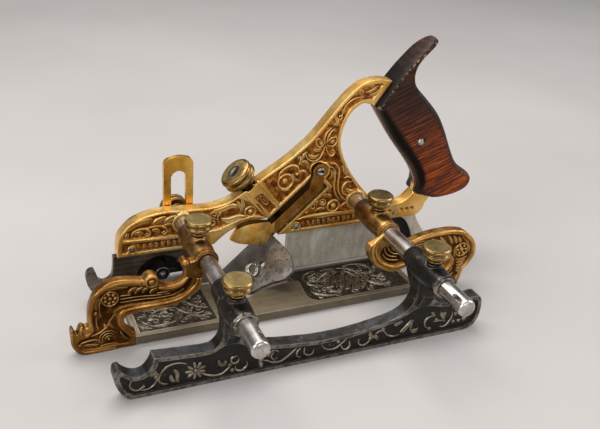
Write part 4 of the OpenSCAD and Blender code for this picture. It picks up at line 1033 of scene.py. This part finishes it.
def rear_bracket_relief(r):
    r.strokes(
        1.2, 1.1,
        [(61, 41.4), (62.6, 37.6), (66, 34.6), (71.6, 33)],
        [(63.6, 41.6), (65.4, 38.6), (68.6, 36.2), (73, 35)],
        [(60.4, 37), (62.6, 33.6), (66.6, 31.4), (73, 30.4)], [(66.4, 41.4), (68.4, 39), (72, 37)]
    )
    r.strokes(
        1.2, 1.1,
        *[
            [(80 + 1.5 * k, 40.2 - 1.9 * k), (86 + k, 41.6 - 1.9 * k), (93, 42.4 - 1.9 * k)]
            for k in range(5)
        ]
    )
    r.rings(1.2, 1.2, (124.8, 30.2, 5.2))
    r.buds(1.4, (124.8, 30.2, 2), *ring_of(124.8, 30.2, 3.2, 6, 1.2))
    r.leaves(
        2.8, 1.3,
        [(111.6, 43.2), (114, 40), (116, 36)], [(116, 42.6), (118, 39.6), (119.6, 36)],
        [(120.4, 41), (122, 38.4), (123, 36)], [(105, 43.4), (108, 39.6), (111, 36.6)],
        [(98, 43), (102, 40), (106, 37)]
    )
    r.strokes(
        1.2, 1.1,
        [(123.6, 40.4), (128.6, 36), (131.2, 31), (131.4, 26.6)], [(119, 33), (118.4, 29), (120, 25)],
        [(94, 38), (101, 35.6), (108, 33.6), (116, 32.6)], [(86, 33.4), (96, 33), (106, 32.8)]
    )
    r.leaves(
        2.4, 1.4,
        *[
            [(121.4 + 0.3 * k, 22.4 - 2.4 * k), (126, 22 - 2.3 * k), (130.4 - 1.4 * k, 24 - 2.5 * k)]
            for k in range(5)
        ]
    )
    r.buds(1.3, (124, 7.4, 1.5), (122.6, 4.6, 1.2))
    r.leaves(2, 1.1, [(119.4, 16), (115, 10.4), (108, 6.4)], [(120.6, 12), (116, 7), (110, 4.4)])


def rear_bracket_rims(r):
    r.strokes(
        5, 1.5,
        [
            (60, 53), (55.6, 48.4), (53.2, 43.6), (53.8, 38), (57, 31.8), (62.4, 27.2), (69, 24.4),
            (76, 25.2), (85, 27.4), (95, 28.2), (104, 28.5), (111.4, 27.6)
        ],
        thin=0.6
    )
    r.strokes(
        3, 1.1,
        [
            (127.2, 14), (131.6, 18.6), (134.6, 24), (135.2, 28), (134, 33), (131, 37.6), (124.6, 43),
            (117.4, 45.4), (108, 46.2), (99, 45.9), (90.4, 44.6), (83, 42.4)
        ],
        [(118, 24), (117.2, 19), (112.6, 14.2), (104, 10.8), (95, 8.6)],
        thin=0.5
    )


for name, material, details, rims in (
    ("front_bracket", FRONT_BRONZE, front_bracket_relief, front_bracket_rims),
    ("rear_bracket", REAR_BRONZE, rear_bracket_relief, rear_bracket_rims),
):
    for part, make, level in (("relief", details, BRACKET_FIELD), ("rims", rims, BRACKET_RIM)):
        relief = Relief(lambda u, v, h, level=level: at(u, level - h, v))
        make(relief)
        relief.finish(name + "_" + part, "bed", material)


# Boss of the depth stop, seen in the front skate's arch

STOP_BOSS = (-77, 12.5)
relief = Relief(lambda u, v, h: at(u, SHOE_FACE - h, v))
relief.rings(1.1, 0.7, (*STOP_BOSS, 4.5))
relief.rings(0.7, 2.0, (*STOP_BOSS, 2.6))
relief.buds(3.0, (*STOP_BOSS, 2.3))
relief.finish("stop_boss", "stop", DARK_STEEL)


# Coil of wire in the cutter's hole


def wire_coil():
    # In the blade's own frame, in mm: x up the blade, z off its face
    blade_t, slope, skew, origin = 3, math.radians(-42), math.radians(16), at(6.5, 0, 33.1)
    loop_r, pitch, turns, steps, wire_r, lean, clear = 4.0, 1.15, 3, 24, 0.5, math.radians(21), 0.1
    flat, side, off = Vector((0.658, -0.753, 0)), Vector((0.753, 0.658, 0)), Vector((0, 0, 1))
    axis = flat * math.cos(lean) + off * math.sin(lean)
    rise = off * math.cos(lean) - flat * math.sin(lean)
    low = loop_r * math.cos(lean) + pitch * turns / 2 * math.sin(lean)
    middle = Vector((-30.6, -16.4, blade_t + low + wire_r + clear))
    points = []
    for t in (2 * math.pi * k / steps for k in range(steps * turns + 1)):
        run = pitch * (t / (2 * math.pi) - turns / 2)
        points.append(middle + axis * run + loop_r * (side * math.cos(t) + rise * math.sin(t)))
    # The end runs down into the hole
    points += [Vector((-26.6, -15.0, blade_t + 2.4)), Vector((-25.6, -15.1, blade_t + 1.1))]
    points += [Vector((-25.2, -15, z)) for z in (blade_t, blade_t / 2)]
    tilt = Matrix.Rotation(slope, 4, "Y") @ Matrix.Rotation(skew, 4, "X")
    blade_frame = Matrix.Translation(origin) @ tilt
    curve = bpy.data.curves.new("wire_coil", "CURVE")
    curve.dimensions = "3D"
    curve.bevel_depth = wire_r / 1000
    curve.bevel_resolution = 3
    curve.use_fill_caps = True
    spline = curve.splines.new("POLY")
    spline.points.add(len(points) - 1)
    for target, p in zip(spline.points, points):
        target.co = (*(blade_frame @ (p / 1000)), 1)
    spline.use_smooth = True
    curve.materials.append(WIRE)
    coil = bpy.data.objects.new("wire_coil", curve)
    bpy.context.scene.collection.objects.link(coil)
    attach(coil, "blade")
    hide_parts("cutter_wire")


wire_coil()


# Floor, light and camera


def studio():
    # The floor bends up into a backdrop
    floor_z, half_width, front_y, bend_y, bend_r, top = cad_box[0][2], 4, -3, 1.6, 0.8, 3
    aim = Vector((-0.05, -0.05, 0.06))
    bend = (math.radians(10 * k) for k in range(1, 10))
    profile = [(front_y, 0), (bend_y, 0)]
    profile += [(bend_y + bend_r * math.sin(a), bend_r - bend_r * math.cos(a)) for a in bend]
    profile += [(bend_y + bend_r, top)]
    mesh = bpy.data.meshes.new("floor")
    build = bmesh.new()
    rows = [[build.verts.new((x, y, floor_z + z)) for x in (-half_width, half_width)] for y, z in profile]
    for low, high in zip(rows, rows[1:]):
        build.faces.new((low[0], low[1], high[1], high[0])).smooth = True
    build.to_mesh(mesh)
    build.free()
    floor = bpy.data.objects.new("floor", mesh)
    bpy.context.scene.collection.objects.link(floor)
    look = Look("floor", Roughness=0.55)
    look.set(Base_Color=look.ramp(look.noise(3, 3), (0.3, rgb(176, 170, 166)), (0.7, rgb(186, 180, 176))))
    mesh.materials.append(look.material)

    world = bpy.data.worlds.new("studio")
    bpy.context.scene.world = world
    world.use_nodes = True
    sky = world.node_tree.nodes["Background"]
    sky.inputs["Color"].default_value = (0.9, 0.94, 1, 1)
    sky.inputs["Strength"].default_value = 0.42

    # Name, place, size and power
    lamps = (
        ("top", (-0.15, 0.35, 1.0), (1.1, 0.7), 11),
        ("left", (-1.1, -0.35, 0.7), (0.7, 0.7), 6),
        ("right", (0.95, -0.2, 0.7), (0.5, 0.8), 5),
        ("front", (-0.1, -1.2, 0.75), (0.9, 0.5), 4),
    )
    for name, place, size, power in lamps:
        light = bpy.data.lights.new(name, "AREA")
        light.shape = "RECTANGLE"
        light.size, light.size_y = size
        light.energy = power
        lamp = bpy.data.objects.new(name, light)
        lamp.location = place
        lamp.rotation_euler = (aim - Vector(place)).to_track_quat("-Z", "Y").to_euler()
        bpy.context.scene.collection.objects.link(lamp)


def camera():
    place = Vector((-0.252865, -0.477558, 0.316995))
    right = Vector((0.917293, -0.392439, 0.067571))
    up = Vector((0.126532, 0.448135, 0.884966))
    back = Vector((-0.377576, -0.803223, 0.460727))
    lens = bpy.data.cameras.new("camera")
    lens.sensor_width = 36
    lens.lens = 50.011
    lens.clip_start = 0.01
    view = bpy.data.objects.new("camera", lens)
    turn = Matrix((right, up, back)).transposed().to_4x4()
    view.matrix_world = Matrix.Translation(place) @ turn
    bpy.context.scene.collection.objects.link(view)
    bpy.context.scene.camera = view


studio()
camera()
bpy.context.scene.view_settings.view_transform = "Standard"
